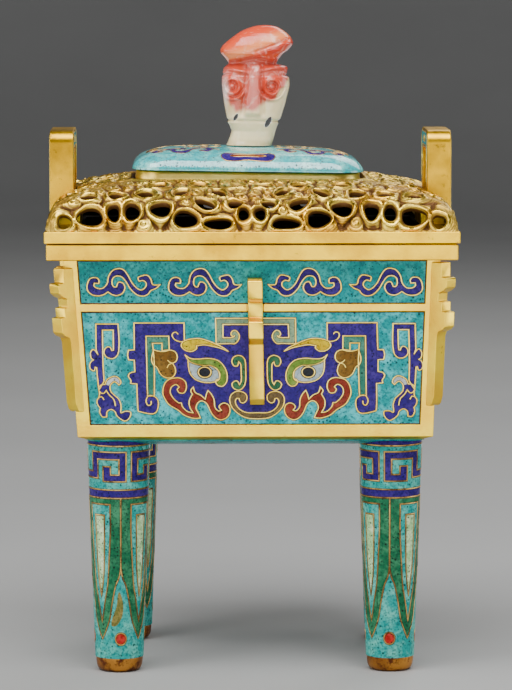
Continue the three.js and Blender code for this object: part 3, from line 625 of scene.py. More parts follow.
def wires(name, chains, place, rise, section=WIRE_SECTION, finish=WIRE_FINISH, materials=None,
          scale=(1.0, 1.0)):
    """All wires of a drawing as one piece. chains is a list of (line, closed), and rise is the height of
    the enamel over the field."""
    points, quads, numbers, caps, first = [], [], [], [], 0
    width = len(section)
    for line, closed in chains:
        aside, out = swept(line, closed, section, scale)
        points.append(place(aside[..., 0], aside[..., 1], out + rise).reshape(-1, 3))
        quads.append(strips(len(line), width, closed) + first)
        numbers.append(np.tile(finish, len(line) if closed else len(line) - 1))
        if not closed:
            around = np.arange(width)
            caps += [around[::-1] + first, around + first + (len(line) - 1) * width]
        first += len(line) * width
    groups = [(np.vstack(quads), np.concatenate(numbers))]
    if caps:
        groups.append((np.array(caps), 0))
    materials = materials or [wire_gilt, solder_line]
    return piece(name, np.vstack(points), groups, materials, smooth_below=50)


# %% [markdown]
# ## The mask
# The front shows the old bronze mask: a pair of eyes, brows and horns on both sides of the middle
# flange, with curled lips below and a small dragon at each outer edge. It is mirrored about the flange,
# so only its left half is drawn. Points are millimetres left of the flange's axis and over the ground.

# %% The drawing of the mask, left half
MASK = {
    "outer_hook": [(-48.9, 109.8, 0), (-42.1, 109.8, 0), (-41.9, 105.2), (-42, 102.4), (-42.4, 100.4),
        (-43.4, 99.3), (-44.7, 99.1), (-46, 99.7), (-46.6, 100.8), (-46.4, 101.9), (-45.6, 102.7),
        (-44.7, 102.6), (-44.2, 101.6, 0), (-43.7, 101.7, 0), (-43.6, 107.9, 0), (-46.9, 107.9, 0),
        (-47, 98.8), (-46.8, 92, 0), (-48.5, 89.3, 0), (-49, 96.3, 0), (-49.4, 96.4, 0), (-49.8, 95.3),
        (-50.9, 95.9), (-51.1, 97.2), (-50.6, 98.2), (-49.9, 98.7, 0), (-50.6, 99.3), (-50.8, 100.8),
        (-50.1, 101.9), (-49.3, 101.6), (-48.5, 100.4, 0), (-49, 101.7, 0)],
    "dragon": [(-46.5, 91.1, 0), (-45.9, 92.5), (-44.7, 93.3), (-43.3, 93.6), (-42.1, 92.8), (-41.7, 91.6),
        (-42.3, 90.9, 0), (-43.5, 91.9), (-44.5, 91.4), (-45, 90.4), (-44.8, 88.9), (-43.6, 87.6),
        (-42.4, 86.4), (-41.8, 84.4), (-41.9, 82.3), (-40.7, 82.7), (-39.1, 82.6), (-38.9, 81.5),
        (-39.7, 80.2), (-40.8, 79.7), (-42, 80.3), (-43.2, 81.4), (-43.7, 82.6), (-44.9, 83.3),
        (-46.1, 82.6), (-46.3, 81, 0), (-47.6, 81), (-48.4, 82.4), (-48.2, 83.7, 0), (-49, 84.9),
        (-49.1, 86.2), (-48.5, 87.1), (-48.3, 88.4), (-48.5, 90), (-47.7, 90.9)],
    "crest": [(-46.4, 91.1, 0), (-45.7, 92.3), (-44.6, 93.1), (-43.3, 93.3), (-42.1, 92.7), (-41.8, 91.6),
        (-42.3, 91.1, 0), (-43.5, 91.9), (-44.5, 91.4), (-45, 90.6, 0)],
    "dragon_curl": [(-48.5, 87.1), (-47.6, 87.2), (-47, 86.3)],
    "dragon_back": [(-46.3, 89.3), (-45.3, 87.8), (-44, 86.4), (-43.5, 84.4)],
    "dragon_jaw": [(-48.5, 89.3), (-47.8, 88.4), (-46.9, 88.4), (-46.1, 89.4)],
    "face": [(-37.2, 110.1, 0), (-21.9, 110.1, 0), (-21.9, 104.5, 0), (-20.1, 105.2), (-17.6, 105.2),
        (-15.2, 104.7), (-12.2, 103.6, 0), (-12.2, 111.5, 0), (0, 111.5, 0), (0, 81.2, 0), (-4.8, 81.2, 0),
        (-8.2, 84.8, 0), (-10.4, 80.8, 0), (-12.1, 81.7), (-13.8, 83.7), (-15.6, 86.4, 0), (-17.6, 86.7, 0),
        (-19.6, 84.4), (-20, 81.4, 0), (-22.6, 82.2), (-25.4, 84.4), (-27.6, 87.3), (-27.9, 89.8),
        (-26.3, 92.1, 0), (-25.9, 93.7, 0), (-28.7, 97.3, 0), (-29.3, 100.9, 0), (-26.6, 101.8, 0),
        (-26.7, 106, 0), (-33.6, 106, 0), (-33.6, 87.5, 0), (-31.5, 87.4, 0), (-30.6, 86.4), (-30.3, 84.8),
        (-30.8, 82.8), (-31.8, 82, 0), (-36.5, 82.7, 0), (-36.7, 84.4), (-36.8, 91.2, 0), (-38.7, 91.4, 0),
        (-38.6, 92.3), (-39.3, 93.6), (-38.8, 94.6), (-37.3, 95, 0), (-37.4, 98.6, 0), (-39.1, 98.7, 0),
        (-39.4, 100.2), (-39.1, 101.7, 0), (-37.3, 101.8, 0)],
    "horn": [(-36.5, 82.7), (-36.7, 84.4), (-36.8, 91.2, 0), (-38.7, 91.4, 0), (-38.6, 92.3), (-39.3, 93.6),
        (-38.8, 94.6), (-37.3, 95, 0), (-37.4, 98.6, 0), (-39.1, 98.7, 0), (-39.4, 100.2),
        (-39.1, 101.7, 0), (-37.3, 101.8, 0), (-37.2, 110.1, 0), (-21.9, 110.1, 0), (-21.9, 104.5, 0),
        (-23.2, 104.3), (-24.8, 104.9), (-25.6, 106.1), (-25.3, 107), (-24.4, 107.2), (-23.8, 106.6)],
    "horn_foot": [(-32.5, 85.9), (-32.6, 84.9), (-33.4, 84.5), (-34, 85.3), (-34, 86.4), (-33.4, 87.4),
        (-32.4, 87.6), (-31.3, 87.2), (-30.5, 86.3), (-30.3, 84.8), (-30.8, 82.8), (-31.8, 82), (-33.5, 82),
        (-36.5, 82.7)],
    "strip": [(-33.6, 106, 0), (-26.7, 106, 0), (-26.6, 101.8, 0), (-28.8, 101.5, 0), (-28.8, 103.8, 0),
        (-31.7, 103.8, 0), (-31.5, 101.7, 0), (-31.3, 97), (-31.5, 87.5, 0), (-33.6, 87.5, 0)],
    "ear": [(-31.4, 101.8, 0), (-29.6, 101.3), (-28, 101.3), (-26.3, 101.7), (-24.8, 101.1), (-24.2, 99.7),
        (-24.6, 98.3), (-25.7, 97.6, 0), (-25, 96.3), (-24.9, 94.6), (-25.9, 93.3), (-27.7, 93.1),
        (-29.4, 94.2), (-30.5, 96.3), (-31.6, 97.2), (-32.1, 99)],
    "ear_upper": [(-25.7, 97.6), (-26.6, 98), (-27.2, 98.6)],
    "ear_lower": [(-25.7, 97.6), (-26.8, 97.2), (-27.4, 96.2)],
    "hook": [(0, 111.5, 0), (-12.2, 111.5, 0), (-12.2, 103.6, 0), (-8, 103.7), (-6.4, 103.7), (-5.3, 104.9),
        (-5.1, 106.4), (-6.1, 107.7), (-7.2, 107.5), (-7.6, 106.5), (-7.1, 105.9), (-7.7, 105.5, 0),
        (-10.1, 105.5, 0), (-10, 109.6, 0), (0, 109.6, 0)],
    "hook_eye": [(-7.7, 105.5), (-6.9, 105.7), (-6.5, 106.2)],
    "brow": [(-22.8, 102.7), (-22.6, 104), (-21.3, 104.8), (-19.2, 105.2), (-16.9, 105.2), (-14.5, 104.5),
        (-12, 103.4), (-10, 102.4), (-8.6, 101.3, 0), (-11, 102.3), (-13.5, 102.9), (-15.9, 103.3),
        (-18.3, 103, 0), (-18.3, 102.1), (-19.6, 101.3), (-21.4, 101.5)],
    "lid": [(-21.8, 100.2, 0), (-20.2, 99.1), (-17.7, 98.9), (-14.9, 99.1), (-12.1, 98.6), (-10.2, 97),
        (-9.1, 94.5), (-9.2, 92), (-10.4, 90.5), (-11.9, 90.7), (-12.6, 91.8), (-12.2, 92.5),
        (-11.4, 92.7, 0), (-11.3, 94.4), (-12.2, 95.8), (-13.9, 96.8), (-16, 96.9), (-18.1, 97.2),
        (-20, 97.9), (-21, 98.8)],
    "white": [(-20.9, 98.6, 0), (-20, 97.9), (-18.1, 97.2), (-16, 96.9), (-13.9, 96.8), (-12.1, 95.8),
        (-11.4, 94.3), (-11.4, 92.7, 0), (-12.4, 92), (-14.4, 91.6), (-16.8, 91.8), (-18.9, 92.7),
        (-20.3, 94.3), (-20.8, 96.3)],
    "scroll": [(-5.4, 98, 0), (-5.8, 96.8), (-6.9, 96.8), (-7.5, 98.1), (-7, 99.4), (-5.6, 100),
        (-4.2, 99.6), (-3.4, 98.2), (-3.3, 95.2), (-3.4, 92), (-4.1, 90.2), (-5.5, 89.2), (-7.1, 89.8),
        (-7.6, 91.1), (-6.8, 92), (-5.9, 92), (-5.3, 90.9, 0), (-4.7, 92.3), (-4.7, 95.2), (-4.8, 97.2)],
    "bracket": [(0, 80.3, 0), (-3.4, 80.6), (-6.2, 82.2), (-7.9, 84.2), (-8.4, 86.3), (-7.7, 88),
        (-6.2, 88.8), (-4.3, 88.6), (-3.2, 87.6), (-3.2, 86.2), (-4.1, 85.3), (-5.1, 85.5), (-5.5, 86.6, 0),
        (-6.3, 86.6), (-6.7, 85.5), (-6, 83.9), (-4.7, 82.8), (-3, 82.2), (0, 82.2, 0)],
    "lip": [(-23.8, 90.2, 0), (-24.8, 91), (-26.2, 90.2), (-26.6, 88.5), (-25.6, 86.6), (-24.1, 85.3, 0),
        (-23.3, 85.3, 0), (-22.9, 84), (-21.4, 82.6), (-19.7, 82.2, 0), (-20.7, 84), (-20.8, 86),
        (-19.8, 88, 0), (-20.3, 89.1), (-19.5, 90.2, 0), (-18.9, 88.5), (-17.3, 87.7), (-15.9, 86.4, 0),
        (-15.5, 88), (-15, 89.1, 0), (-14, 88), (-13.2, 86.2), (-13, 84), (-12, 82.8), (-11, 83, 0),
        (-11.7, 84), (-11.1, 84.9), (-9.8, 85.2), (-8.6, 84.3), (-8.4, 82.5), (-9.3, 80.8), (-11.1, 80),
        (-12.8, 80.6), (-14.2, 82.3), (-15.4, 84.9), (-16.9, 85.9), (-18.2, 85.3), (-18.8, 83.7),
        (-18.1, 82.1), (-17.5, 80.6, 0), (-19.7, 80.5), (-22.5, 81.5), (-24.4, 83.1), (-27, 84.7),
        (-28.3, 86.6), (-28.9, 88.5), (-28.4, 90.9), (-27.2, 92.4), (-25.4, 93), (-23.5, 93), (-22, 92),
        (-21.6, 90.2), (-22.3, 88.5), (-23.7, 88.4), (-24.4, 89.4)],
}
# Middle and half sizes of the pupil
PUPIL = (-15.9, 94.8, 1.96, 1.62)
# The cloud scroll of the frieze, the one next to the flange at the left
FRIEZE = {
    "cloud": [(-47.7, 122.3, 0), (-47.6, 123.4), (-48.5, 124.1), (-50.1, 123.9), (-51.1, 122.4),
        (-51.2, 120.3), (-49.9, 118.9), (-48.1, 118.5), (-46.4, 118.8), (-44.9, 119.7, 0), (-43.7, 118.9),
        (-42.2, 118.6), (-40.5, 119.3), (-39.7, 121), (-40.3, 122.4), (-41.6, 122.7), (-42.3, 121.3, 0),
        (-43.1, 121.3), (-43.6, 122.4), (-43.3, 123.9), (-42.1, 124.6), (-40.6, 124.3), (-39.3, 122.8),
        (-38, 120.6), (-36.1, 118.8), (-34.1, 118.4), (-32.7, 119), (-31.8, 120.1), (-30.2, 120.8),
        (-29, 121.9, 0), (-30.3, 121.8), (-31.3, 122.1), (-31.8, 123.7), (-32.8, 124.8), (-34.3, 124.7),
        (-35.6, 124.1), (-35.3, 123, 0), (-34.1, 123.2), (-33.2, 122.4), (-33.4, 121.2), (-34.7, 120.3),
        (-36.1, 120.9), (-37.5, 122.5), (-38.8, 125), (-40, 126.5), (-41.5, 126.9), (-43.3, 126.3),
        (-44.6, 124.5), (-45.1, 122.3), (-46.4, 120.9), (-48, 120.8), (-49.1, 121.5), (-49, 122.4, 0)],
}

# %% Fill the four walls
# Colours in the order in which the cells cover each other
MASK_COLOURS = [
    ("outer_hook", "lapis"), ("dragon", "lapis"), ("crest", "grey"), ("face", "lapis"), ("strip", "strip"),
    ("hook", "sage"), ("ear", "ochre"), ("brow", "yellow"), ("white", "white"), ("lid", "lid_green"),
    ("scroll", "scroll"), ("bracket", "brown"), ("lip", "red"),
]
OPEN_LINES = ["dragon_curl", "dragon_back", "dragon_jaw", "horn", "horn_foot", "ear_upper", "ear_lower",
              "hook_eye"]
DRAGONS = ("outer_hook", "dragon", "crest", "dragon_curl", "dragon_back", "dragon_jaw")
UNWIRED = ("face", "crest")     # the wires of the lines and cells beside them bound these
RISE = 0.14             # mm of enamel over the sunk field
PUPIL_GLASS = 0.45      # mm of black glass outside the pupil's wire
SEAM_INSIDE = 0.3       # mm that a field is larger than the line along its bars
NARROW_MASK, NARROW_CLOUD = 0.93, 0.78      # widths on the short walls, as shares of the front's
CLOUD_STEP = 24.9       # mm between two clouds of the frieze
SEAM_SECTION = WIRE_SECTION * [0.8, 0.6]
SEAM_FINISH = np.ones(len(WIRE_SECTION), int)       # nothing but the brown line


def ring(x, z, half_x, half_z, count=28):
    """An ellipse: the middle plus the half sizes times the cosine and the sine."""
    angle = np.arange(count) * 2 * np.pi / count
    return np.stack([x + half_x * np.cos(angle), z + half_z * np.sin(angle)], axis=1)


def both(line):
    return [line, mirrored(line)]


def squeezed(line, share):
    return line * [share, 1]


for side, side_name in enumerate(SIDE_NAMES):
    place = on_wall(side)
    broad = side % 2 == 0
    share = 1.0 if broad else NARROW_MASK
    left_out = () if broad else DRAGONS         # the short walls have no room for the outer dragons
    regions, chains = [], []
    for motif, colour in MASK_COLOURS:
        if motif in left_out:
            continue
        regions += [(line, colour) for line in both(squeezed(curve(MASK[motif]), share))]
        if motif not in UNWIRED:
            closed = MASK[motif][0][0] != 0     # a cell on the axis stays open there
            chains += [(line, closed) for line in both(squeezed(curve(MASK[motif], closed), share))]
    chains += [(line, True) for line in both(squeezed(ring(*PUPIL), share))]
    glass = ring(*PUPIL[:2], PUPIL[2] + PUPIL_GLASS, PUPIL[3] + PUPIL_GLASS)
    regions += [(line, "black") for line in both(squeezed(glass, share))]
    lines = [line for motif in OPEN_LINES if motif not in left_out
             for line in both(squeezed(curve(MASK[motif], closed=False), share))]
    enamel_slab("enamel_panel_" + side_name, field_outline(side, *FIELDS["panel"]), regions, lines, place,
                RISE, "turquoise")
    wires("wires_panel_" + side_name, chains + [(line, False) for line in lines], place, RISE)
    for field in FIELDS:
        seam = field_outline(side, *FIELDS[field])
        seam = seam.mean(axis=0) + (seam - seam.mean(axis=0)) * (1 - SEAM_INSIDE / np.ptp(seam, axis=0))
        wires("seam_" + field + "_" + side_name, [(dense(seam, 3.0), True)], place, RISE,
              section=SEAM_SECTION, finish=SEAM_FINISH)

    clouds = [line for shift in (0.0, CLOUD_STEP)
              for line in both(squeezed(curve(FRIEZE["cloud"]) + [shift, 0], 1.0 if broad else NARROW_CLOUD))]
    enamel_slab("enamel_frieze_" + side_name, field_outline(side, *FIELDS["frieze"]),
                [(c, "lapis") for c in clouds], [], place, RISE, "teal")
    wires("wires_frieze_" + side_name, [(c, True) for c in clouds], place, RISE)
drawn = [o for o in bpy.data.objects if o.name.startswith(("enamel_", "wires_"))]
print("faces of the walls' enamels and wires:", sum(len(o.data.polygons) for o in drawn))

# %% [markdown]
# ## The legs
# A leg is a tapering copper tube. Its enamel is drawn on the unrolled tube: across goes the angle round
# the leg, up goes the height. A squared spiral band lies below the body, and four pointed lappets hang
# from it, each with a paler blade inside. The real legs are worn at the foot, where bare copper shows.

# %% Unrolled leg
LEG_FOOT_RADIUS, LEG_TOP_RADIUS = 7.3, 9.75
LEG_AXES = {"front_left": (-41.2, -28.0), "front_right": (43.4, -28.0),
            "rear_left": (-39.1, 28.0), "rear_right": (45.5, 28.0)}
DEGREE = 0.15           # mm of the drawing for one degree round the leg
FOOT_HEIGHT = 4.5
LEG_SKIN = 0.12         # how far the enamel stands out of the tube
UNDERSIDE_BULGE = 4.7
UNDERSIDE = np.array([(0.0, 1.0), (0.3, 1.0), (0.6, 0.86), (0.8, 0.6), (0.93, 0.28), (1.0, 0.0), (1.2, -0.4)])


def underside_at(x, y):
    """Height of the vessel's bulging underside: the base less a share of the bulge, which depends on how
    far out the point lies as a share of the base's half size."""
    share = np.maximum(np.abs(x - LEAN) / BASE_HALF[0], np.abs(y) / BASE_HALF[1])
    return BASE_Z - UNDERSIDE_BULGE * np.interp(share, *UNDERSIDE.T)


def leg_radius(z):
    return LEG_FOOT_RADIUS + (LEG_TOP_RADIUS - LEG_FOOT_RADIUS) * z / BASE_Z


def on_leg(axis, seam):
    """The point u mm of drawing round the leg, z up and h out of the tube: the axis plus the radius plus h
    times the direction of the angle. No point rises over the vessel's underside."""
    def place(u, z, h):
        angle = np.radians(seam - 90 + u / DEGREE)
        radius = leg_radius(z) + h
        x, y = axis[0] + radius * np.cos(angle), axis[1] + radius * np.sin(angle)
        return np.stack(np.broadcast_arrays(x, y, np.minimum(z, underside_at(x, y) + 0.5)), axis=-1)
    return place


# Half of a motif: degrees from its middle, height in mm
LAPPET = [(45, 55.1, 0), (45, 33.8), (33.4, 27.3), (26, 22.1), (19.5, 16.9), (9, 13), (0, 10.6, 0)]
FRAME = [(24, 53.1, 0), (24, 46), (22.3, 40.5), (16.6, 28.6), (10, 23.4), (0, 16, 0)]
BLADE = [(11.5, 49.7, 0), (11, 44), (10, 38), (8, 32), (3.5, 27), (0, 24, 0)]
# The squared spiral from the middle of a pair outwards: degrees left of the gap between two pairs
FRET = [(-90, 61.2), (-61.5, 61.2), (-61.5, 67.2), (-18.7, 67.2), (-18.7, 62.4), (-34.6, 62.4), (-34.6, 65),
        (-49.8, 65), (-49.8, 60.3), (-5.2, 60.3), (-5.2, 69.5), (-75.8, 69.5), (-75.8, 63.3), (-90, 63.3)]
BAND_LINES = (71.4, 57.7, 55.1)
SEAM_TURN, FRET_TURN = 4.4, 15.5
ENAMEL_TOP = 76.0       # the enamel runs into the vessel's underside, which cuts it off
BARE_PATCH = [(-2, 25.5), (5, 22), (3, 18), (-9, 15.2), (-21, 15.0), (-20, 17), (-10, 21), (-6, 25)]
DOT = (10.8, 1.9)       # height and radius of the red dot between two lappets


def crossings(across, up):
    """All points of a grid, from the values across and the values up."""
    return np.stack(np.meshgrid(across, up), axis=-1).reshape(-1, 2)


def leaf(half, middle):
    """A pointed leaf from its right half: the half and its mirror image, in mm of the drawing."""
    right = curve(half, closed=False, samples=8)
    line = np.vstack([right, (right * [-1, 1])[-2::-1]])
    return dense((line + [middle, 0]) * [DEGREE, 1], 0.9)


for corner, axis in LEG_AXES.items():
    hand = -1 if corner.endswith("right") else 1
    place = on_leg(axis, SEAM_TURN * hand)
    start = FRET_TURN * hand - 180
    def band(low, high):
        return dense(np.array([[-300.0, low], [300, low], [300, high], [-300, high]]) * [DEGREE, 1], 0.9)

    regions = [(band(BAND_LINES[0], 78.0), "lapis"), (band(BAND_LINES[2], BAND_LINES[1]), "lapis")]
    chains = []
    for middle in (-225, -135, -45, 45, 135, 225):
        for half, colour in ((LAPPET, "leg_green"), (FRAME, "leg_blue"), (BLADE, "pale_green")):
            line = leaf(half, middle)
            regions.append((line, colour))
            if abs(middle) < 180:
                if half is LAPPET:      # neighbours share one straight wire above their points
                    chains.append((line[line[:, 1] < 33.85], False))
                    shared = np.linspace([middle + 45, 55.1], [middle + 45, 33.9], 8) * [DEGREE, 1]
                    chains.append((shared, False))
                else:
                    chains.append((line, True))
    for middle in (-180, -90, 0, 90, 180):
        dot = ring(middle * DEGREE, DOT[0], DOT[1], DOT[1], 24)
        regions.append((dot, "dot_red"))
        if middle > -180:
            chains.append((dot, True))
    if corner == "front_left":
        regions.append((curve(BARE_PATCH) * [DEGREE, 1], "loss"))
    for turn in (0, 180):
        spiral = np.array(FRET) + [FRET_TURN, 0]
        far = np.stack([2 * (FRET_TURN - 90) - spiral[::-1, 0], spiral[::-1, 1]], axis=1)
        line = (np.vstack([spiral, far[1:-1]]) + [turn, 0]) * [DEGREE * hand, 1]
        line = dense(line, 0.9)
        regions.append((line, "lapis"))
        chains.append((line, True))
    for z in BAND_LINES:
        chains.append((np.linspace([-180 * DEGREE, z], [180 * DEGREE, z], 73), False))
    spots = crossings(np.arange(start + 5, start + 360, 6) * DEGREE,
                      np.arange(FOOT_HEIGHT + 1.3, ENAMEL_TOP - 0.5, 2.6))
    rows = [np.stack([np.arange(start, start + 361, 6) * DEGREE, np.full(61, z)], axis=1)
            for z in (FOOT_HEIGHT, ENAMEL_TOP)]
    outline = np.vstack([rows[0], rows[1][::-1]])
    enamel_slab("enamel_leg_" + corner, outline, regions, [], place, LEG_SKIN, "leg_blue", spots)
    wires("wires_leg_" + corner, chains, place, LEG_SKIN, materials=[leg_wire, solder_line],
          scale=(0.9, 1.0))

# %% The tube and the worn foot
def end_fans(rings, count):
    """Triangles that close a stack of rings, below to the point numbered rings * count, above to the next."""
    spokes, last = np.arange(count), (rings - 1) * count
    after = (spokes + 1) % count
    return (np.stack([np.full(count, rings * count), after, spokes], axis=1),
            np.stack([np.full(count, rings * count + 1), spokes + last, after + last], axis=1))


def turned(name, axis, profile, materials, numbers, replaces=(), count=64):
    """A body of revolution: each (radius, height) of the profile goes round the axis. The ends close in
    a point on the axis."""
    profile = np.asarray(profile, float)
    angle = np.arange(count) * 2 * np.pi / count
    body = profile[1:-1]
    x = axis[0] + body[:, :1] * np.cos(angle)
    y = axis[1] + body[:, :1] * np.sin(angle)
    z = np.broadcast_to(body[:, 1:], x.shape)
    points = np.vstack([np.stack([x, y, z], axis=-1).reshape(-1, 3),
                        [*axis, profile[0, 1]], [*axis, profile[-1, 1]]])
    low, high = end_fans(len(body), count)
    groups = [(strips(len(body), count), np.repeat(numbers, count)), (low, numbers[0]), (high, numbers[-1])]
    return piece(name, points, groups, materials, replaces=replaces)


TUBE_TOP = 71.0
FOOT_PROFILE = [(0, 0), (4.9, 0), (5.6, 0.1), (6.3, 0.45), (6.75, 1.0), (7.05, 1.8), (7.2, 2.8), (7.28, 3.8),
                (7.3, FOOT_HEIGHT), (7.2, FOOT_HEIGHT + 0.1), (leg_radius(TUBE_TOP) - 0.3, TUBE_TOP),
                (0, TUBE_TOP)]
for corner, axis in LEG_AXES.items():
    turned("foot_" + corner, axis, FOOT_PROFILE, [foot_copper], np.zeros(len(FOOT_PROFILE) - 3, int),
           replaces=["leg_" + corner])

# %% [markdown]
# ## The underside, the handles' faces and an old repair
# The bottom of the vessel bulges a little and is enamelled like the walls, because enamel on one side
# only would warp the copper in the kiln. The handles carry enamel on their broad faces. Beside the front
# flange runs a strip of pale filler, where glass was lost and made good.

# %% Underside
def under_vessel(u, z, h):
    """Seen from below: u is to the left of the middle, z (the drawing's height) is the depth, and h out of
    the copper is down."""
    x = LEAN - u
    return np.stack(np.broadcast_arrays(x, z, underside_at(x, z) - h), axis=-1)


def centred(line):
    return line - (line.min(axis=0) + line.max(axis=0)) / 2


CLOUD = centred(curve(FRIEZE["cloud"]))
UNDER_CLOUDS = [(-21, -13), (-21, 13), (21, -13), (21, 13)]
UNDER_SCABS = [(-8.0, -31.5, 3.6, 1.6), (14.0, -32.0, 2.6, 1.3), (3.0, -30.0, 1.2, 0.8)]
half = BASE_HALF - 2.6
outline = dense(half * [[-1, -1], [1, -1], [1, 1], [-1, 1]], 1.6)
grid = crossings(np.arange(-half[0] + 1.2, half[0] - 0.4, 1.7), np.arange(-half[1] + 1.2, half[1] - 0.4, 1.7))
clouds = [CLOUD * [1.0 if x < 0 else -1.0, 1.0] + [x, y] for x, y in UNDER_CLOUDS]
clouds = [cloud if x < 0 else cloud[::-1] for cloud, (x, y) in zip(clouds, UNDER_CLOUDS)]
scabs = [curve(ring(*spot, 14)) for spot in UNDER_SCABS]
enamel_slab("enamel_underside", outline, [(c, "lapis") for c in clouds] + [(s, "loss") for s in scabs], [],
            under_vessel, 0.3, "teal", grid, foot=-0.4)
wires("wires_underside", [(c, True) for c in clouds], under_vessel, 0.3)

# %% Faces of the handles
HANDLE_X = (55.25, 62.65)
HANDLE_Z = (134.85, 167.7)
HANDLE_HALF, HANDLE_BAND = 14.5, 6.0
FIELD_FOOT = {"inner": 16.5, "outer": 5.0}      # how far over the handle's foot its enamel begins


def on_handle(x, out):
    def place(u, z, h):
        return np.stack(np.broadcast_arrays(x + out * h, u * out, z), axis=-1)
    return place


def arch(inset, foot):
    """An inverted U inside the handle's face: the outer line moved in by inset and the inner line out."""
    outer, inner = HANDLE_HALF - inset, HANDLE_HALF - HANDLE_BAND + inset
    top, under = HANDLE_Z[1] - inset, HANDLE_Z[1] - HANDLE_BAND + inset
    return curve([(-outer, foot, 0), (-outer, top - 3.2, 0), (-outer + 0.9, top - 0.9),
                  (-outer + 3.2, top, 0), (outer - 3.2, top, 0), (outer - 0.9, top - 0.9),
                  (outer, top - 3.2, 0), (outer, foot, 0), (inner, foot, 0), (inner, under - 1.8, 0),
                  (inner - 0.5, under - 0.5), (inner - 1.8, under, 0),
                  (-inner + 1.8, under, 0), (-inner + 0.5, under - 0.5), (-inner, under - 1.8, 0),
                  (-inner, foot, 0)])[::-1]


for end, sign in (("left", -1), ("right", 1)):
    for face, x, out in (("inner", HANDLE_X[0] * sign, -sign), ("outer", HANDLE_X[1] * sign, sign)):
        foot = HANDLE_Z[0] + FIELD_FOOT[face]
        curls = []
        for u in (-11.5, 11.5):
            for z in np.arange(foot + 4.5, HANDLE_Z[1] - 9, 7.2):
                curls.append(CLOUD[:, ::-1] * [-0.2, 0.27] * [1 if u < 0 else -1, 1] + [u, z])
        curls.append(CLOUD * [0.42, 0.24] + [0, HANDLE_Z[1] - HANDLE_BAND / 2])
        place = on_handle(x, out)
        name = end + "_" + face
        enamel_slab("enamel_handle_" + name, arch(0.9, foot), [(c, "lapis") for c in curls], [], place, 0.06,
                    "turquoise", foot=-0.2)
        wires("wires_handle_" + name, [(arch(0.9, foot), True)] + [(c, True) for c in curls], place, 0.03,
              scale=(0.75, 1.0))

# %% Repair strip
strip = curve([(-2.15, 86.2, 0), (-0.75, 85.9, 0), (-0.75, 124.0, 0), (-1.9, 124.1, 0), (-2.2, 120),
               (-1.85, 116), (-2.15, 112), (-2.3, 107), (-1.9, 103), (-2.25, 98), (-2.0, 93), (-2.3, 89)])
enamel_slab("repair_strip", strip, [], [], on_wall(0), 0.42, "white", foot=0.0)

# %% [markdown]
# ## The openwork lid
# The lid was cast from a wax model and then chased. Thick scrolls wind round the openings, each with
# grooves that follow its edge, and where two scrolls meet a crease divides them. The dome is unrolled
# side by side: a runs along the side and t up the slope. Each side is one sheet with the real openings
# cut out, a second sheet 1.8 mm below it and a wall all round every opening. Each point also keeps its
# height and its distance from the nearest opening. From the height the gilding paints a brown shade into
# the hollows, standing for their shadow, and from the distance it takes the chaser's fine lines, which
# it also draws in that painted shade.

# %% Dome form
LID_LOW, DOME_LOW = 134.85, 138.45
LID_HALF = np.array([63.25, 49.5])
LID_ASIDE, COLLAR_INSET = -0.8, 26.5
DOME_WALL = 1.8
PROFILE = np.array([(0.7, 0.0), (1.2, 2.6), (2.0, 5.4), (3.4, 7.7), (6.0, 9.4), (14.2, 12.1),
                    (COLLAR_INSET, 14.5)])
TURN_RADIUS = (1.0, 9.0)
walked = np.append(0, np.cumsum(np.linalg.norm(np.diff(PROFILE, axis=0), axis=1)))
DOME_LENGTH = walked[-1]


def bell_average(values, reach, step, spread, mirrored_ends=True):
    """The average of each value and its neighbours, weighted with exp(-(distance / spread) ** 2 / 2). The
    ends go on as their mirror images through the end points, so they stay where they are; without
    mirrored_ends the values bring their own reach values more at both ends."""
    if mirrored_ends:
        values = np.pad(values, reach, mode="reflect", reflect_type="odd")
    weight = np.exp(-0.5 * (np.arange(-reach, reach + 1) * step / spread) ** 2)
    return np.convolve(values, weight / weight.sum(), mode="valid")


def softened_profile(step=0.1, spread=1.1):
    """The dome's profile against the way up the slope, averaged over spread mm."""
    t = np.arange(0, DOME_LENGTH, step)
    reach = int(4 * spread / step)
    return t, np.stack([bell_average(np.interp(t, walked, PROFILE[:, k]), reach, step, spread)
                        for k in (0, 1)], axis=1)


DOME_T, DOME_LINE = softened_profile()
DOME_SLOPE = np.gradient(DOME_LINE, DOME_T, axis=0)


def inset_at(t):
    return np.interp(t, DOME_T, DOME_LINE[:, 0])


def mitre_at(side, t):
    """Half the unrolled length of a side: its straight part and an eighth of the corner's circle."""
    inset = inset_at(t)
    radius = np.interp(inset, (0, COLLAR_INSET), TURN_RADIUS)
    return LID_HALF[side % 2] - inset - radius + radius * np.pi / 4


def on_dome(side):
    turn = math.radians(90 * side)
    right, out = np.array([math.cos(turn), math.sin(turn)]), np.array([math.sin(turn), -math.cos(turn)])

    def place(a, t, h):
        """Past the straight part the point goes round the corner's circle; h is square to the slope."""
        inset, rise = inset_at(t), np.interp(t, DOME_T, DOME_LINE[:, 1])
        inward, upward = np.interp(t, DOME_T, DOME_SLOPE[:, 0]), np.interp(t, DOME_T, DOME_SLOPE[:, 1])
        radius = np.interp(inset, (0, COLLAR_INSET), TURN_RADIUS)
        straight = LID_HALF[side % 2] - inset - radius
        bend = np.maximum(np.abs(a) - straight, 0) / radius
        u = np.sign(a) * (np.minimum(np.abs(a), straight) + (radius + h * upward) * np.sin(bend))
        off = LID_HALF[1 - side % 2] - inset - radius + (radius + h * upward) * np.cos(bend)
        x = u * right[0] + off * out[0] + LID_ASIDE * inset / COLLAR_INSET
        return np.stack([x, u * right[1] + off * out[1], DOME_LOW + rise + h * inward], axis=-1)
    return place


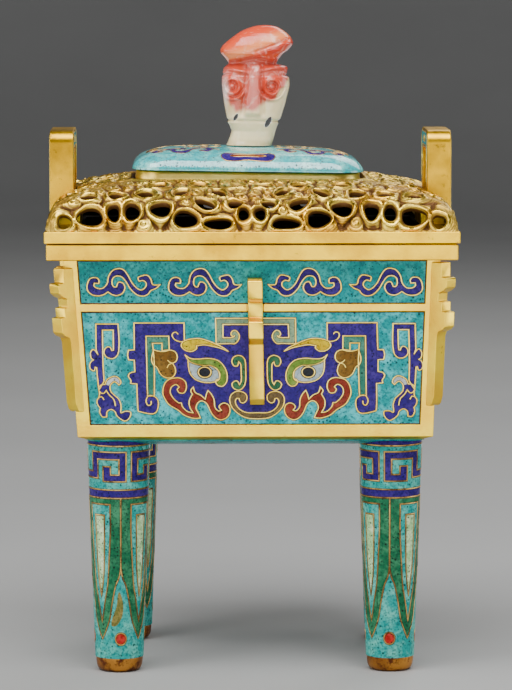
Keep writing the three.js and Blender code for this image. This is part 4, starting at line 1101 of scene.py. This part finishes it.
# %% Openings
# Along from the side's middle, up the slope, length, width (mm), lean (degrees); each has a mirror image
LONG_HOLES = [
    (2.6, 5.8, 3, 4.2, 0), (10.2, 2.4, 8.2, 2.8, 0), (5.1, 9.3, 3.8, 2.8, 10), (14.4, 9.6, 3.6, 6.6, 50),
    (20.3, 4, 6.8, 5, -8), (27.6, 7.6, 6, 5.2, 10), (36.4, 6.8, 4.2, 6.2, 0), (42.1, 6.2, 3.4, 5.8, 0),
    (49.2, 4.7, 7.4, 5.4, 0), (57, 3, 3.8, 3.8, 0), (9.6, 17, 3, 5.6, 30), (21.4, 16.4, 3, 6, -25),
    (32.4, 15.8, 4.6, 4.6, 0), (41.2, 14.6, 4.4, 3.6, 0), (49.6, 13.6, 4.4, 3.2, 0), (4, 23.6, 4.6, 3.4, 20),
    (15.4, 24.4, 5, 3.4, -20), (28.4, 24.2, 5, 3.4, 15)]
SHORT_HOLES = [
    (43.4, 3, 3.8, 3.8, 0), (35.6, 4.7, 7.4, 5.4, 0), (28.4, 6.2, 3.4, 5.8, 0), (22.6, 6.8, 4.2, 6.2, 0),
    (35.8, 13.6, 4.4, 3.2, 0), (27.4, 14.6, 4.4, 3.6, 0), (19.4, 17.4, 4.6, 4.6, 0), (4, 24, 4.6, 3.4, 20),
    (13.6, 24.6, 5, 3.4, -20)]
NOTCH_HALF = 15.0
NOTCH_UP = {1: 13.8, 3: 14.35}      # how far up the slope the handles' notches reach, right and left


def opening(along, up, length, width, lean, grow=0.0, points=36):
    """A leaning ellipse with a slight three-sided swelling, so that no two scrolls look turned on a lathe:
    the half sizes plus grow, times one plus 7 percent of the cosine of three times the angle."""
    angle = np.arange(points) * 2 * np.pi / points
    swell = 1 + 0.07 * np.cos(3 * angle + 1.7 * along + 0.9 * up)
    a = (length / 2 + grow) * np.cos(angle) * swell
    b = (width / 2 + grow) * np.sin(angle) * swell
    turn = math.radians(lean) * np.sign(along)
    return np.stack([along + a * math.cos(turn) + b * math.sin(turn),
                     up + b * math.cos(turn) - a * math.sin(turn)], axis=1)


def holes_of(side):
    drawn = LONG_HOLES if side % 2 == 0 else SHORT_HOLES
    return [hole for along, *rest in drawn for hole in ((along, *rest), (-along, *rest))]


def fade(value, low, high):
    """0 below low, 1 above high and the smooth cubic 3 s s - 2 s s s between them."""
    s = np.clip((value - low) / (high - low), 0, 1)
    return s * s * (3 - 2 * s)


def scrolls(side, spots, bosses):
    """Height of the casting and distance to the nearest opening or boss, in mm. That distance rounds the
    edge over by a quarter circle and then makes grooves that fade away from it; a boss has a spiral groove
    instead; a crease lies where the two nearest are equally far. Near the rims and mitres the height goes
    to nothing."""
    holes = holes_of(side)
    middles = np.array([hole[:2] for hole in holes] + bosses.tolist())
    far = np.empty((len(middles), len(spots)), np.float32)
    for k, hole in enumerate(holes):
        edge = opening(*hole)
        far[k] = np.sqrt(((spots[:, None] - edge[None]) ** 2).sum(axis=2)).min(axis=1)
    for k, boss in enumerate(bosses):
        far[len(holes) + k] = np.maximum(np.hypot(*(spots - boss).T) - 0.3, 0)
    nearest = far.argmin(axis=0)
    two = np.partition(far, 1, axis=0)[:2]
    way = spots - middles[nearest]
    angle = np.arctan2(way[:, 1], way[:, 0])
    crescent = 1 + 0.38 * np.cos(angle - 2.4 * nearest) * (nearest < len(holes))
    d, gap = two[0] * crescent, two[1] - two[0]
    hand = np.where(nearest % 2 == 0, 1, -1)
    lip, beyond = np.clip(d / 1.3, 0, 1), np.maximum(d - 1.3, 0)
    rounded = -1.4 + 2.0 * np.sqrt(1 - (1 - lip) ** 2)
    rings = 0.38 + 0.22 * np.cos(2 * np.pi * beyond / 1.5) * np.exp(-beyond / 3) - 0.2 * np.minimum(beyond, 3)
    veins = 0.35 * np.maximum(np.cos(2 * angle + 1.3 * nearest), 0) ** 8
    veins = veins * fade(d, 1.3, 2.2) * (1 - fade(d, 3.2, 4.4))
    height = np.where(d < 1.3, rounded, rings - veins)
    spiral = (0.3 + 0.24 * np.cos(2 * np.pi * d / 1.9 - hand * angle) * np.exp(-d / 4)
              - 0.12 * np.minimum(d, 3))
    height = np.where(nearest < len(holes), height, spiral)
    height -= 0.8 * np.exp(-(gap / 0.8) ** 2) * fade(d, 0.7, 1.6)
    a, t = spots.T
    height += 0.1 * np.sin(0.95 * a + 0.6 * t) * np.sin(0.55 * a - 1.15 * t + 1.0)
    height += 0.28 * np.sin(0.55 * a + 0.6) * np.sin(0.7 * t - 0.23 * a)
    edges = fade(t, 0.0, 0.9) * fade(DOME_LENGTH - t, 0.0, 1.2)
    return height * (edges * fade(mitre_at(side, t) - np.abs(a), 0.0, 1.6)), d


# %% Points of a side
SPACING = 0.42          # mm between the points of the outer sheet
EDGE_STEP = 0.5
COLLARS = (0.1, 0.26, 0.48, 0.76)       # rings of points outside each opening, where the lip is rounded
BOSS_GRID = (4.3, 3.9)
chance = np.random.default_rng(7)


def side_outline(side):
    """A side's edge, anticlockwise: along the bottom and round the handle's notch, up the right mitre,
    back along the collar and down the left mitre. Also says which points lie on a mitre."""
    low, high = (np.arange(-mitre_at(side, t) + 0.5, mitre_at(side, t) - 0.2, EDGE_STEP)
                 for t in (0, DOME_LENGTH))
    bottom = np.stack([low, np.zeros(len(low))], axis=1)
    if side % 2:
        up = NOTCH_UP[side]
        bite = dense(np.array([[-NOTCH_HALF, 0.0], [-NOTCH_HALF, up], [NOTCH_HALF, up], [NOTCH_HALF, 0.0]]),
                     0.45, closed=False)
        bottom = np.vstack([bottom[low < -NOTCH_HALF - 0.2], bite, bottom[low > NOTCH_HALF + 0.2]])
    t = np.linspace(0, DOME_LENGTH, 72)
    right = np.stack([mitre_at(side, t), t], axis=1)
    top = np.stack([high[::-1], np.full(len(high), DOME_LENGTH)], axis=1)
    outline = np.vstack([bottom, right, top, mirrored(right)])
    return outline, np.abs(np.abs(outline[:, 0]) - mitre_at(side, outline[:, 1])) < 1e-6


def clear_of_edges(side, spots, mitre, notch):
    """The spots that lie more than mitre mm inside the mitres and notch mm outside the handle's notch."""
    spots = spots[np.abs(spots[:, 0]) < mitre_at(side, spots[:, 1]) - mitre]
    if side % 2:
        spots = spots[(np.abs(spots[:, 0]) > NOTCH_HALF + notch) | (spots[:, 1] > NOTCH_UP[side] + notch)]
    return spots


def sheet_spots(side):
    """Staggered rows of points 1 mm clear of the openings, and the rings of points round each of them."""
    rows = np.arange(0.35, DOME_LENGTH - 0.2, SPACING * 0.866)
    a, t = np.meshgrid(np.arange(-LID_HALF[side % 2], LID_HALF[side % 2], SPACING), rows)
    a = a + (np.arange(len(rows)) % 2 * SPACING / 2)[:, None]
    spots = clear_of_edges(side, np.stack([a.ravel(), t.ravel()], axis=1), 0.3, 0.25)
    for hole in holes_of(side):
        near = np.flatnonzero(np.hypot(*(spots - hole[:2]).T) < max(hole[2:4]) + 2)
        spots = np.delete(spots, near[inside(spots[near], opening(*hole, grow=1.0))], axis=0)
    collars = [opening(*hole, grow=grow) for hole in holes_of(side) for grow in COLLARS]
    return spots, np.vstack([c for c in collars if (np.abs(c[:, 0]) < mitre_at(side, c[:, 1]) - 0.3).all()
                             and c[:, 1].min() > 0.2 and c[:, 1].max() < DOME_LENGTH - 0.2])


def boss_spots(side):
    """Bosses stand on an uneven grid, where no opening is nearer than 2.7 mm."""
    lattice = crossings(np.arange(-LID_HALF[side % 2], LID_HALF[side % 2], BOSS_GRID[0]),
                        np.arange(2.4, DOME_LENGTH - 1.5, BOSS_GRID[1]))
    bosses = clear_of_edges(side, lattice + chance.uniform(-0.9, 0.9, lattice.shape), 1.8, 1.5)
    for hole in holes_of(side):
        bosses = bosses[~inside(bosses, opening(*hole, grow=2.7))]
    return bosses


# %% Cast the four sides as one body
# Painted shade: the walls of the openings run down to this height, so they take the brown painted shade of
# the hollows
HOLE_WALL_HEIGHT = -1.4         # what the inner sheet counts as for the gilding's hollows
all_points, all_faces, all_walls, all_heights, all_reaches, all_soot_and_shade, first = [], [], [], [], [], [], 0
for side in range(4):
    place = on_dome(side)
    outline, on_mitre = side_outline(side)
    holes = [opening(*hole) for hole in holes_of(side)]
    spots, collars = sheet_spots(side)
    flat, faces, loops = cut_sheet(outline, holes, spots=np.vstack([spots, collars]))
    height, reach = scrolls(side, flat, boss_spots(side))
    flat_in, faces_in, loops_in = cut_sheet(outline, holes, spots=spots[::11])
    inner = first + len(flat)
    all_points += [place(*flat.T, height), place(*flat_in.T, np.full(len(flat_in), -DOME_WALL))]
    all_heights += [height, np.full(len(flat_in), HOLE_WALL_HEIGHT)]
    all_reaches += [reach, np.zeros(len(flat_in))]
    all_faces += [faces + first, faces_in[:, ::-1] + inner]
    all_soot_and_shade += [np.zeros(len(faces), int), np.ones(len(faces_in), int)]
    for k, (loop, loop_in) in enumerate(zip(loops, loops_in)):
        after, after_in = np.roll(loop, -1), np.roll(loop_in, -1)
        wall = np.stack([after + first, loop + first, loop_in + inner, after_in + inner], axis=1)
        all_walls.append(wall[:, ::-1] if k else wall[~(on_mitre & np.roll(on_mitre, -1))])
    first = inner + len(flat_in)

# The lid's inner sheet is near black: soot and painted shade of the lid's inside
dome = piece("lid_openwork", np.vstack(all_points), [(np.vstack(all_faces), np.concatenate(all_soot_and_shade)),
             (np.vstack(all_walls), 0)], [cast_gilt, soot_and_shade], smooth_below=180, replaces=["lid"])
# The relief attribute tells the gilding where to paint its brown shade
for attribute, values in (("relief", all_heights), ("reach", all_reaches)):
    made = dome.data.attributes.new(attribute, "FLOAT", "POINT")
    made.data.foreach_set("value", np.concatenate(values).astype(np.float32))
print("dome: open edges", rebuilt(dome.data, merge=4e-6), "faces", len(dome.data.polygons))
dome.data.set_sharp_from_angle(angle=math.radians(65))


# %% Band, lip and collar
def prism(name, outline, holes, low, high, material, slot, bevel=0.3):
    """A plate with a drawn outline and a live Bevel modifier: bottom and top are the same cut sheet, and
    walls stand along the outline and round each hole."""
    flat, faces, loops = cut_sheet(outline, holes)
    count = len(flat)
    points = np.vstack([np.column_stack([flat, np.full(count, z)]) for z in (low, high)])
    walls = []
    for k, loop in enumerate(loops):
        after = np.roll(loop, -1)
        wall = np.stack([loop, after, after + count, loop + count], axis=1)
        area = np.cross(flat[loop], flat[after]).sum()
        walls.append(wall if (area > 0) == (k == 0) else wall[:, ::-1])
    # The walls round the holes take the near-black soot and painted shade
    made = piece(name, points, [(faces[:, ::-1], 0), (faces + count, 0), (walls[0], 0)]
                 + [(wall, 1) for wall in walls[1:]], [material, soot_and_shade], smooth_below=30)
    if bevel:
        rebuilt(made.data, flat=True)
        rounded(made, bevel)
    return made


def rectangle(half_x, half_y):
    return np.array([(-half_x, -half_y), (half_x, -half_y), (half_x, half_y), (-half_x, half_y)], float)


def notched(half_x, half_y, notch_x, notch_y):
    right = [(half_x, -half_y), (half_x, -notch_y), (notch_x, -notch_y), (notch_x, notch_y),
             (half_x, notch_y), (half_x, half_y)]
    return np.array(right + [(-x, -y) for x, y in right], float)


NOTCH_X = 54.75         # how far from the middle the notches end
OPENING = (52.9, 39.3)  # half sizes of the way through the lip
BAND_OPENING = (53.9, 48.0)
LEDGE_HALF, LEDGE_HEIGHTS = (54.2, 48.3), (LID_LOW + 0.05, LID_LOW + 2.3)
LIP_HALF, LIP_HEIGHTS = (54.5, 40.9), (132.25, LID_LOW + 0.2)
# The band in the rim's darker olive gold of painted shade
prism("lid_band", notched(*LID_HALF, NOTCH_X, NOTCH_HALF), [rectangle(*BAND_OPENING)], LID_LOW, DOME_LOW,
      rim_gilt_with_painted_shade, "gilt")
# The ledge under the dome is all near black: soot and painted shade, seen only through the openings
prism("lid_ledge", rectangle(*LEDGE_HALF), [rectangle(*OPENING)], *LEDGE_HEIGHTS, soot_and_shade, "gilt", bevel=0)
prism("lid_lip", rectangle(*LIP_HALF), [rectangle(*OPENING)], *LIP_HEIGHTS, plate_gilt, "gilt")

# Walls of the two notches, from the band up to the dome
NOTCH_OUT, NOTCH_WALL = 61.6, 1.5
for name, sign in (("right", 1), ("left", -1)):
    path = dense(np.array([(NOTCH_OUT, -NOTCH_HALF), (NOTCH_X, -NOTCH_HALF), (NOTCH_X, NOTCH_HALF),
                           (NOTCH_OUT, NOTCH_HALF)]), 0.8, closed=False)
    back = np.where(np.abs(path) >= NOTCH_HALF - 1e-6, np.sign(path) * (NOTCH_HALF + NOTCH_WALL), path)
    back[:, 0] = np.where(path[:, 0] <= NOTCH_X + 1e-6, NOTCH_X - NOTCH_WALL, path[:, 0])
    stations = []
    for line in (path, back):
        inset = np.maximum(LID_HALF[0] - line[:, 0], 0.6)
        top = DOME_LOW + np.interp(inset, DOME_LINE[:, 0], DOME_LINE[:, 1]) - 0.7
        stations += [np.column_stack([line * [sign, 1], np.broadcast_to(z, len(line))])
                     for z in (DOME_LOW - 0.5, top)]
    rings = np.stack([stations[0], stations[1], stations[3], stations[2]], axis=1)
    caps = np.array([[0, 1, 2, 3], [3, 2, 1, 0]]) + [[0], [(len(path) - 1) * 4]]
    quads = np.vstack([strips(len(path), 4)[:, [0, 3, 2, 1]], caps])
    piece("lid_notch_" + name, rings.reshape(-1, 3), [(quads if sign > 0 else quads[:, ::-1], 0)],
          [plate_gilt])

COLLAR_HALF, CORNER_RADIUS = (35.1, 21.6), 9.0
COLLAR_TOP, PLAQUE_FALL = 155.0, 0.0145


def seat_z(x):
    """The collar's top falls a little to the right."""
    return COLLAR_TOP - PLAQUE_FALL * (x - LID_ASIDE)


def rounded_corners(half, radius, steps):
    """A rectangle's outline with a quarter circle of steps points at each corner."""
    angle = np.radians(np.linspace(0, 90, steps))
    quarter = np.stack([half[0] - radius + radius * np.cos(angle), half[1] - radius + radius * np.sin(angle)],
                       axis=1)
    return np.vstack([quarter, mirrored(quarter), -quarter, (quarter * [1, -1])[::-1]])


def moulding(name, half, radius, section, material, arc=12):
    """A closed section carried round a rounded rectangle: (inset, height over the collar's top)."""
    rings = []
    for inset, rise in section:
        outline = rounded_corners(np.array(half) - inset, max(radius - inset, 0.4), arc)
        x = outline[:, 0] + LID_ASIDE
        rings.append(np.column_stack([x, outline[:, 1], seat_z(x) + rise]))
    return piece(name, np.vstack(rings), [(strips(len(section), 4 * arc, closed=True), 0)], [material])


moulding("lid_collar", COLLAR_HALF, CORNER_RADIUS,
         [(0.0, -3.4), (-0.12, -1.9), (0.05, -1.55), (0.05, -0.45), (0.3, -0.12), (0.7, 0.0), (6.0, 0.0),
          (6.0, -3.4)], wire_gilt)

# %% [markdown]
# ## The plaque
# The plaque is a copper pillow, covered with turquoise glass and scattered with cobalt clouds. Its glass
# is thick and its edge steep, so the lamp draws a long bright glare along the front.

# %% Plaque
PLAQUE_HALF = np.array([36.1, 22.6])
PILLOW = np.array([(0, 0.7), (0.4, 2), (1.6, 3.4), (4, 4.9), (8, 6), (13, 6.6), (18, 6.9)])
PLAQUE_GAP = 0.3


def plaque_inset(x, y):
    """How far in from the edge a point lies, in the plaque's family of shrinking rounded rectangles: each is
    smaller by the inset in depth and by 1.3 times the inset in width. Found by halving an interval."""
    low, high = np.zeros(np.shape(x)), np.full(np.shape(x), 22.0)
    for _ in range(24):
        inset = (low + high) / 2
        half_x, half_y = PLAQUE_HALF[0] - 1.3 * inset, PLAQUE_HALF[1] - inset
        radius = np.minimum(CORNER_RADIUS, half_y - 0.3)
        qx, qy = np.abs(x) - half_x + radius, np.abs(y) - half_y + radius
        away = np.hypot(np.maximum(qx, 0), np.maximum(qy, 0)) + np.minimum(np.maximum(qx, qy), 0) - radius
        low, high = np.where(away < 0, inset, low), np.where(away < 0, high, inset)
    return low


PILLOW_END = 30         # values at the flat end of the pillow, which goes on level
pillow_inset = np.linspace(0, PILLOW[-1, 0], 361)
pillow_rise = np.interp(pillow_inset, *PILLOW.T)
pillow_rise = np.append(np.pad(pillow_rise, (PILLOW_END, 0), mode="reflect", reflect_type="odd"),
                        np.full(PILLOW_END, pillow_rise[-1]))
pillow_rise = bell_average(pillow_rise, PILLOW_END, 0.05, 0.5, mirrored_ends=False)


def on_plaque(u, z, h):
    """u across and z (the drawing's height) into the depth; h is straight up, and below -0.5 it is the
    plaque's flat foot."""
    rise = np.interp(plaque_inset(u, z), pillow_inset, pillow_rise)
    x = u + LID_ASIDE
    over = np.where(h < -0.5, 0.0, rise + h)
    return np.stack(np.broadcast_arrays(x, z, seat_z(x) + PLAQUE_GAP + over), axis=-1)


def rounded_rectangle(half, radius, step=0.8):
    return dense(rounded_corners(half, radius, 16), step)


BEAN = centred(curve([(-8.4, 0), (-7.2, -1.8), (-4, -1.6), (0, -1.1), (4, -1.6), (7.2, -1.8), (8.4, 0),
                      (7.2, 1.8), (4, 2.0), (0, 1.7), (-4, 2.0), (-7.2, 1.8)]))
SEED = centred(curve([(-5.6, 0.1), (-4, -0.45), (0, -0.35), (4, -0.45), (5.6, 0.1), (4, 0.6), (0, 0.5),
                      (-4, 0.6)]))
clouds, seeds = [], []
for sign in (-1, 1):
    clouds.append(BEAN * [1.0, sign * 1.1] + [0, 19.0 * sign])
    seeds.append(SEED * [1.0, sign] + [0, 18.8 * sign])
    for across in (-1, 1):
        clouds.append(CLOUD * [-0.95 * across, 1.05 * sign] + [19.5 * across, 13.2 * sign])
        clouds.append(CLOUD * [0.55 * across, -0.55 * sign] + [14.5 * across, 4.4 * sign])
    clouds.append(CLOUD[:, ::-1] * [-0.6 * sign, 0.6] + [29.5 * sign, 0.0])
rings_in = [rounded_rectangle(PLAQUE_HALF - [1.3 * inset, inset], min(CORNER_RADIUS, 22.3 - inset), 0.9)
            for inset in (0.12, 0.3, 0.6, 1.0, 1.5, 2.1, 2.8)]
grid = crossings(np.arange(-35, 35.1, 0.9), np.arange(-21.6, 21.7, 0.9))
grid = grid[inside(grid, rounded_rectangle(PLAQUE_HALF - [4.3, 3.3], 7.0))]
enamel_slab("enamel_plaque", rounded_rectangle(PLAQUE_HALF, CORNER_RADIUS), [(c, "lapis") for c in clouds]
            + [(s, "red") for s in seeds], [],
            on_plaque, 0.0, "plaque_blue", np.vstack(rings_in + [grid]), foot=-1.0)
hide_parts("plaque")
outlines = [c if np.cross(c, np.roll(c, -1, axis=0)).sum() > 0 else c[::-1] for c in clouds + seeds]
wires("wires_plaque", [(c, True) for c in outlines], on_plaque, 0.0, materials=[leg_wire, solder_line],
      scale=(0.55, 0.5))

# %% [markdown]
# ## The finial
# The knob was cut from one pebble with a red skin over a cream heart, so the red sits on the cap and the
# face and the neck stays pale. The carver rounded the block first and then cut the face into it; the
# code does the same, with a smooth body and a carved depth on its front.

# %% Finial
FINIAL_X, FINIAL_RISE = -0.3, 7.48
FINIAL_HEIGHT = 37.8
# Height, left and right end and half depth of the block's sections
SECTIONS = np.array([
    (0, -7.1, 7.1, 6), (1.2, -6.5, 7.5, 5.6), (2.8, -5.9, 8, 5.2), (4.5, -5.4, 8.4, 5.2), (6.4, -6.2, 9, 5.8),
    (7.4, -6.9, 9.5, 6), (7.8, -5.9, 8.7, 5.6), (8.3, -6.9, 9.9, 6.4), (13, -7.8, 11.4, 7),
    (18.8, -8.5, 12.8, 7.2), (21.6, -8.5, 12.7, 7.2), (22.1, -7.8, 11.4, 6.8), (22.7, -8.3, 11.9, 6.8),
    (24.4, -7.8, 12.3, 6.2), (25.2, -6.8, 11.8, 5.8), (25.6, -6.2, 8.6, 5.2), (27, -7.2, 9.2, 6.4),
    (28.9, -8.9, 10.6, 7.4), (30.0, -9.0, 12.2, 7.6), (31.3, -8.2, 13.4, 7.5), (32.4, -7.0, 14.0, 7.2),
    (34.2, -4.7, 13.2, 6.4), (35.4, -3.1, 12.0, 5.4), (36.4, -1.2, 10.6, 4.2), (37.2, 0.9, 9.2, 3.0),
    (37.65, 2.6, 7.8, 1.8), (FINIAL_HEIGHT, 4.2, 6.4, 0.8)])
CAP_EDGE = (-8.6, 1.5, 7.6, 10.5, 13.4), (26.2, 28.0, 26.8, 28.4, 31.7)     # across, height
EYES = ((-5.4, 18.6), (7.2, 18.6))


def bell(value, width):
    return np.exp(-(value / width) ** 2)


def carving(x, z):
    """How far the front stands out of the smooth body, in mm: ridges are bell curves of the distance to the
    middle of a line, and grooves are the same with a minus."""
    edge = np.interp(x, *CAP_EDGE)
    depth = 0.7 * fade(z - edge, -0.1, 0.4) - 1.0 * bell(z - edge + 0.8, 0.8)
    depth -= 0.45 * bell(z - 29.4 - 0.376 * (x - 1.5), 0.5) * fade(x, 0.5, 3.0)
    face = fade(z, 8.8, 10.5) * (1 - fade(z, 24.8, 26))
    middle = 1.4 + 0.05 * (z - 16)
    half = np.interp(z, (9.5, 23.4), (2.5, 1.4))
    beside = np.abs(x - middle)
    depth += face * (1.1 * (1 - fade(beside, half - 0.5, half + 0.3)) - 0.8 * bell(beside - half - 0.9, 0.6))
    depth -= face * 0.35 * bell(beside - 0.45, 0.25)
    for at_x, at_z in EYES:
        away = np.hypot(x - at_x, z - at_z)
        spin = np.arctan2(z - at_z, x - at_x)
        depth += 0.7 * bell(away - 2.3, 0.42) - 0.75 * bell(away - 1.35, 0.5)
        depth += 0.7 * bell(np.hypot(x - at_x + 0.3, z - at_z + 0.2), 0.75)
        below = fade(-(z - at_z), 0.0, 1.5)
        depth += 0.7 * bell(away - 4.3 - 0.3 * np.sin(spin), 0.5) * below * face
        depth -= 0.7 * bell(away - 3.4, 0.4) * below * face
        brow = z - (23.4 + 0.16 * np.abs(x - 1.4) + (0.0 if at_x > 0 else -0.6))
        depth += 0.75 * bell(brow, 0.7) * fade(np.sign(at_x - 1) * (x - 1.4), 1.0, 2.0)
    return depth + 0.05 * np.sin(1.3 * x + 0.7 * z) * np.sin(0.9 * x - 1.7 * z)


ROWS, AROUND = 250, 200
level = FINIAL_HEIGHT * (1 - (1 - np.linspace(0, 1, ROWS)) ** 1.25)
fine = np.arange(0, FINIAL_HEIGHT + 0.01, 0.1)
left, right, deep = (np.interp(level, fine, bell_average(np.interp(fine, SECTIONS[:, 0], SECTIONS[:, k]),
                                                         12, 0.1, 0.2)) for k in (1, 2, 3))
angle = np.arange(AROUND) * 2 * np.pi / AROUND


def squared(value):
    """Sign times the 0.78th power: it fills the corners of the ellipse out a little."""
    return np.sign(value) * np.abs(value) ** 0.78


x = (left + right)[:, None] / 2 + (right - left)[:, None] / 2 * squared(np.cos(angle))
y = deep[:, None] * squared(np.sin(angle))
z = np.broadcast_to(level[:, None], x.shape)
front = fade(-np.sin(angle), 0.15, 0.6)[None]
rear = fade(np.sin(angle), 0.15, 0.6)[None] * 0.6      # the cap is carved behind too, but less deep
cut = carving(x, z) * np.where(z > 26.5, np.maximum(front, rear), front)
y = y + np.sign(y) * cut
place_x = FINIAL_X + x
points = np.stack([place_x, y, seat_z(place_x) + FINIAL_RISE + z], axis=-1).reshape(-1, 3)
ends = np.stack([points[:AROUND].mean(axis=0), points[-AROUND:].mean(axis=0)])

# Colours of the pebble, painted by height and side: cream neck, red face and cap, with a painted highlight
# down the nose and a painted highlight band across the cap
px, py = np.append(x.ravel(), [1, 6]), np.append(y.ravel(), [0, 0])
pz = np.append(z.ravel(), [0, FINIAL_HEIGHT])
ripple = 0.8 * np.sin(0.9 * px + 0.5 * pz) + 0.5 * np.sin(1.9 * pz - 1.1 * px + 2 * py)
red_from = np.interp(px, (-8, -4, 1, 5, 8, 11, 13), (15, 10.5, 10.5, 13, 14.5, 18.5, 22))
red = fade(pz - red_from + 0.5 * ripple, -0.6, 1.8)
cap = fade(pz - np.interp(px, *CAP_EDGE), -0.4, 0.4)
beside = np.abs(px - 0.9)
ring_of_eye = bell(np.hypot(beside - 6.3, pz - 18.6) - 2.6, 1.9)
tone = np.tile(linear("#e4d2a2")[:3], (len(px), 1))
for colour, share in [
    ("#b8a070", 0.55 * (1 - fade(pz, 0.3, 2.6))),
    ("#c9a070", 0.7 * bell(px + 6.2, 1.6) * bell(pz - 12.5, 2.6)),
    ("#bd5040", red),
    ("#a8431f", red * 0.85 * bell(px + 2.7, 0.9)),
    ("#c23c22", red * 0.9 * fade(beside, 2.3, 3.7) * ring_of_eye),
    ("#bd3a24", red * 0.85 * bell(pz - 25.0, 1.3) * fade(np.abs(px - 0.5), 1.6, 3.2)),
    # Painted highlight: a paler pink down the ridge of the nose, where the polished stone catches the lamp
    ("#cf7264", red * 0.75 * bell(px - 1.3 - 0.04 * (pz - 16), 1.35) * (1 - fade(pz, 25.5, 27.5))),
    ("#e8d2ca", 0.8 * fade(-px, 6.0, 7.2) * bell(pz - 17, 4.0)),
    ("#d2421f", cap),
    # Painted highlight: a pale orange band across the top of the cap, where the lamp glints on it
    ("#e88a50", cap * 0.85 * bell(pz - 30.6 - 0.42 * px, 2.0)),
    ("#bb2a17", cap * 0.8 * bell(pz - 27.8 - 0.376 * (px - 1.5), 1.3) * fade(px, 1, 4)),
]:
    tone = tone + (np.array(linear(colour)[:3]) - tone) * share[:, None]

finial_stone, tree = blank("polished_red_and_cream_stone")
at = add(tree, "TexCoord")["Object"]
painted = add(tree, "Attribute", attribute_name="tone")["Color"]
veins = ramp(tree, noise(tree, at, 3.2, 6.0, Distortion=1.2), 0.55, 0.75, high=0.35)
colour = mix(tree, veins, painted, "#efd6c4")
cloud = noise(tree, at, 1.1, 4.0)
bump = add(tree, "Bump", {"Height": cloud, "Strength": 0.25, "Distance": 0.08 * MM})["Normal"]
gloss = ramp(tree, cloud, low=0.14, high=0.3)
shader = add(tree, "BsdfPrincipled", {"Base Color": colour, "Roughness": gloss, "IOR": 1.54, "Normal": bump,
                                      "Subsurface Weight": 0.12, "Subsurface Scale": 0.6 * MM,
                                      "Subsurface Radius": (1.0, 0.5, 0.35)})["BSDF"]
add(tree, "OutputMaterial", {"Surface": shader})

knob = piece("finial_stone", np.vstack([points, ends]),
             [(strips(ROWS, AROUND), 0), (np.vstack(end_fans(ROWS, AROUND)), 0)], [finial_stone],
             smooth_below=70, replaces=["finial"])
painted = knob.data.color_attributes.new("tone", "FLOAT_COLOR", "POINT")
painted.data.foreach_set("color", np.column_stack([tone, np.ones(len(tone))]).astype(np.float32).ravel())

# Two openings drilled through the neck, left and right of the chin: middle, length, width and lean
DRILLED = {"left": (-4.2, 8.9, 2.5, 1.1, 60), "right": (6.0, 7.5, 3.8, 1.6, 62)}
DRILL_SIDES, DRILL_REACH = 20, 12.0
for name, (at_x, at_z, length, width, turn) in DRILLED.items():
    bit = ring(0, 0, length / 2, width / 2, DRILL_SIDES)
    lean = math.radians(turn)
    bit = bit @ np.array([[math.cos(lean), math.sin(lean)], [-math.sin(lean), math.cos(lean)]]) + [at_x, at_z]
    tool_x = FINIAL_X + bit[:, 0]
    rod = np.vstack([np.column_stack([tool_x, np.full(DRILL_SIDES, depth),
                                      seat_z(tool_x) + FINIAL_RISE + bit[:, 1]])
                     for depth in (-DRILL_REACH, DRILL_REACH)])
    around = np.arange(DRILL_SIDES)
    after = np.roll(around, -1)
    sides = np.stack([around, after, after + DRILL_SIDES, around + DRILL_SIDES], axis=1)
    tool_mesh = bpy.data.meshes.new("drill")
    tool_mesh.from_pydata((rod * MM).tolist(), [], sides[:, ::-1].tolist()
                          + [around.tolist(), (around[::-1] + DRILL_SIDES).tolist()])
    tool = bpy.data.objects.new("drill", tool_mesh)
    bpy.context.scene.collection.objects.link(tool)
    cut_hole = knob.modifiers.new("drilled_" + name, "BOOLEAN")
    cut_hole.operation, cut_hole.object, cut_hole.solver = "DIFFERENCE", tool, "EXACT"
    drilled = bpy.data.meshes.new_from_object(knob.evaluated_get(bpy.context.evaluated_depsgraph_get()))
    knob.modifiers.clear()
    knob.data = drilled
    bpy.data.objects.remove(tool)
print("finial faces:", len(knob.data.polygons))
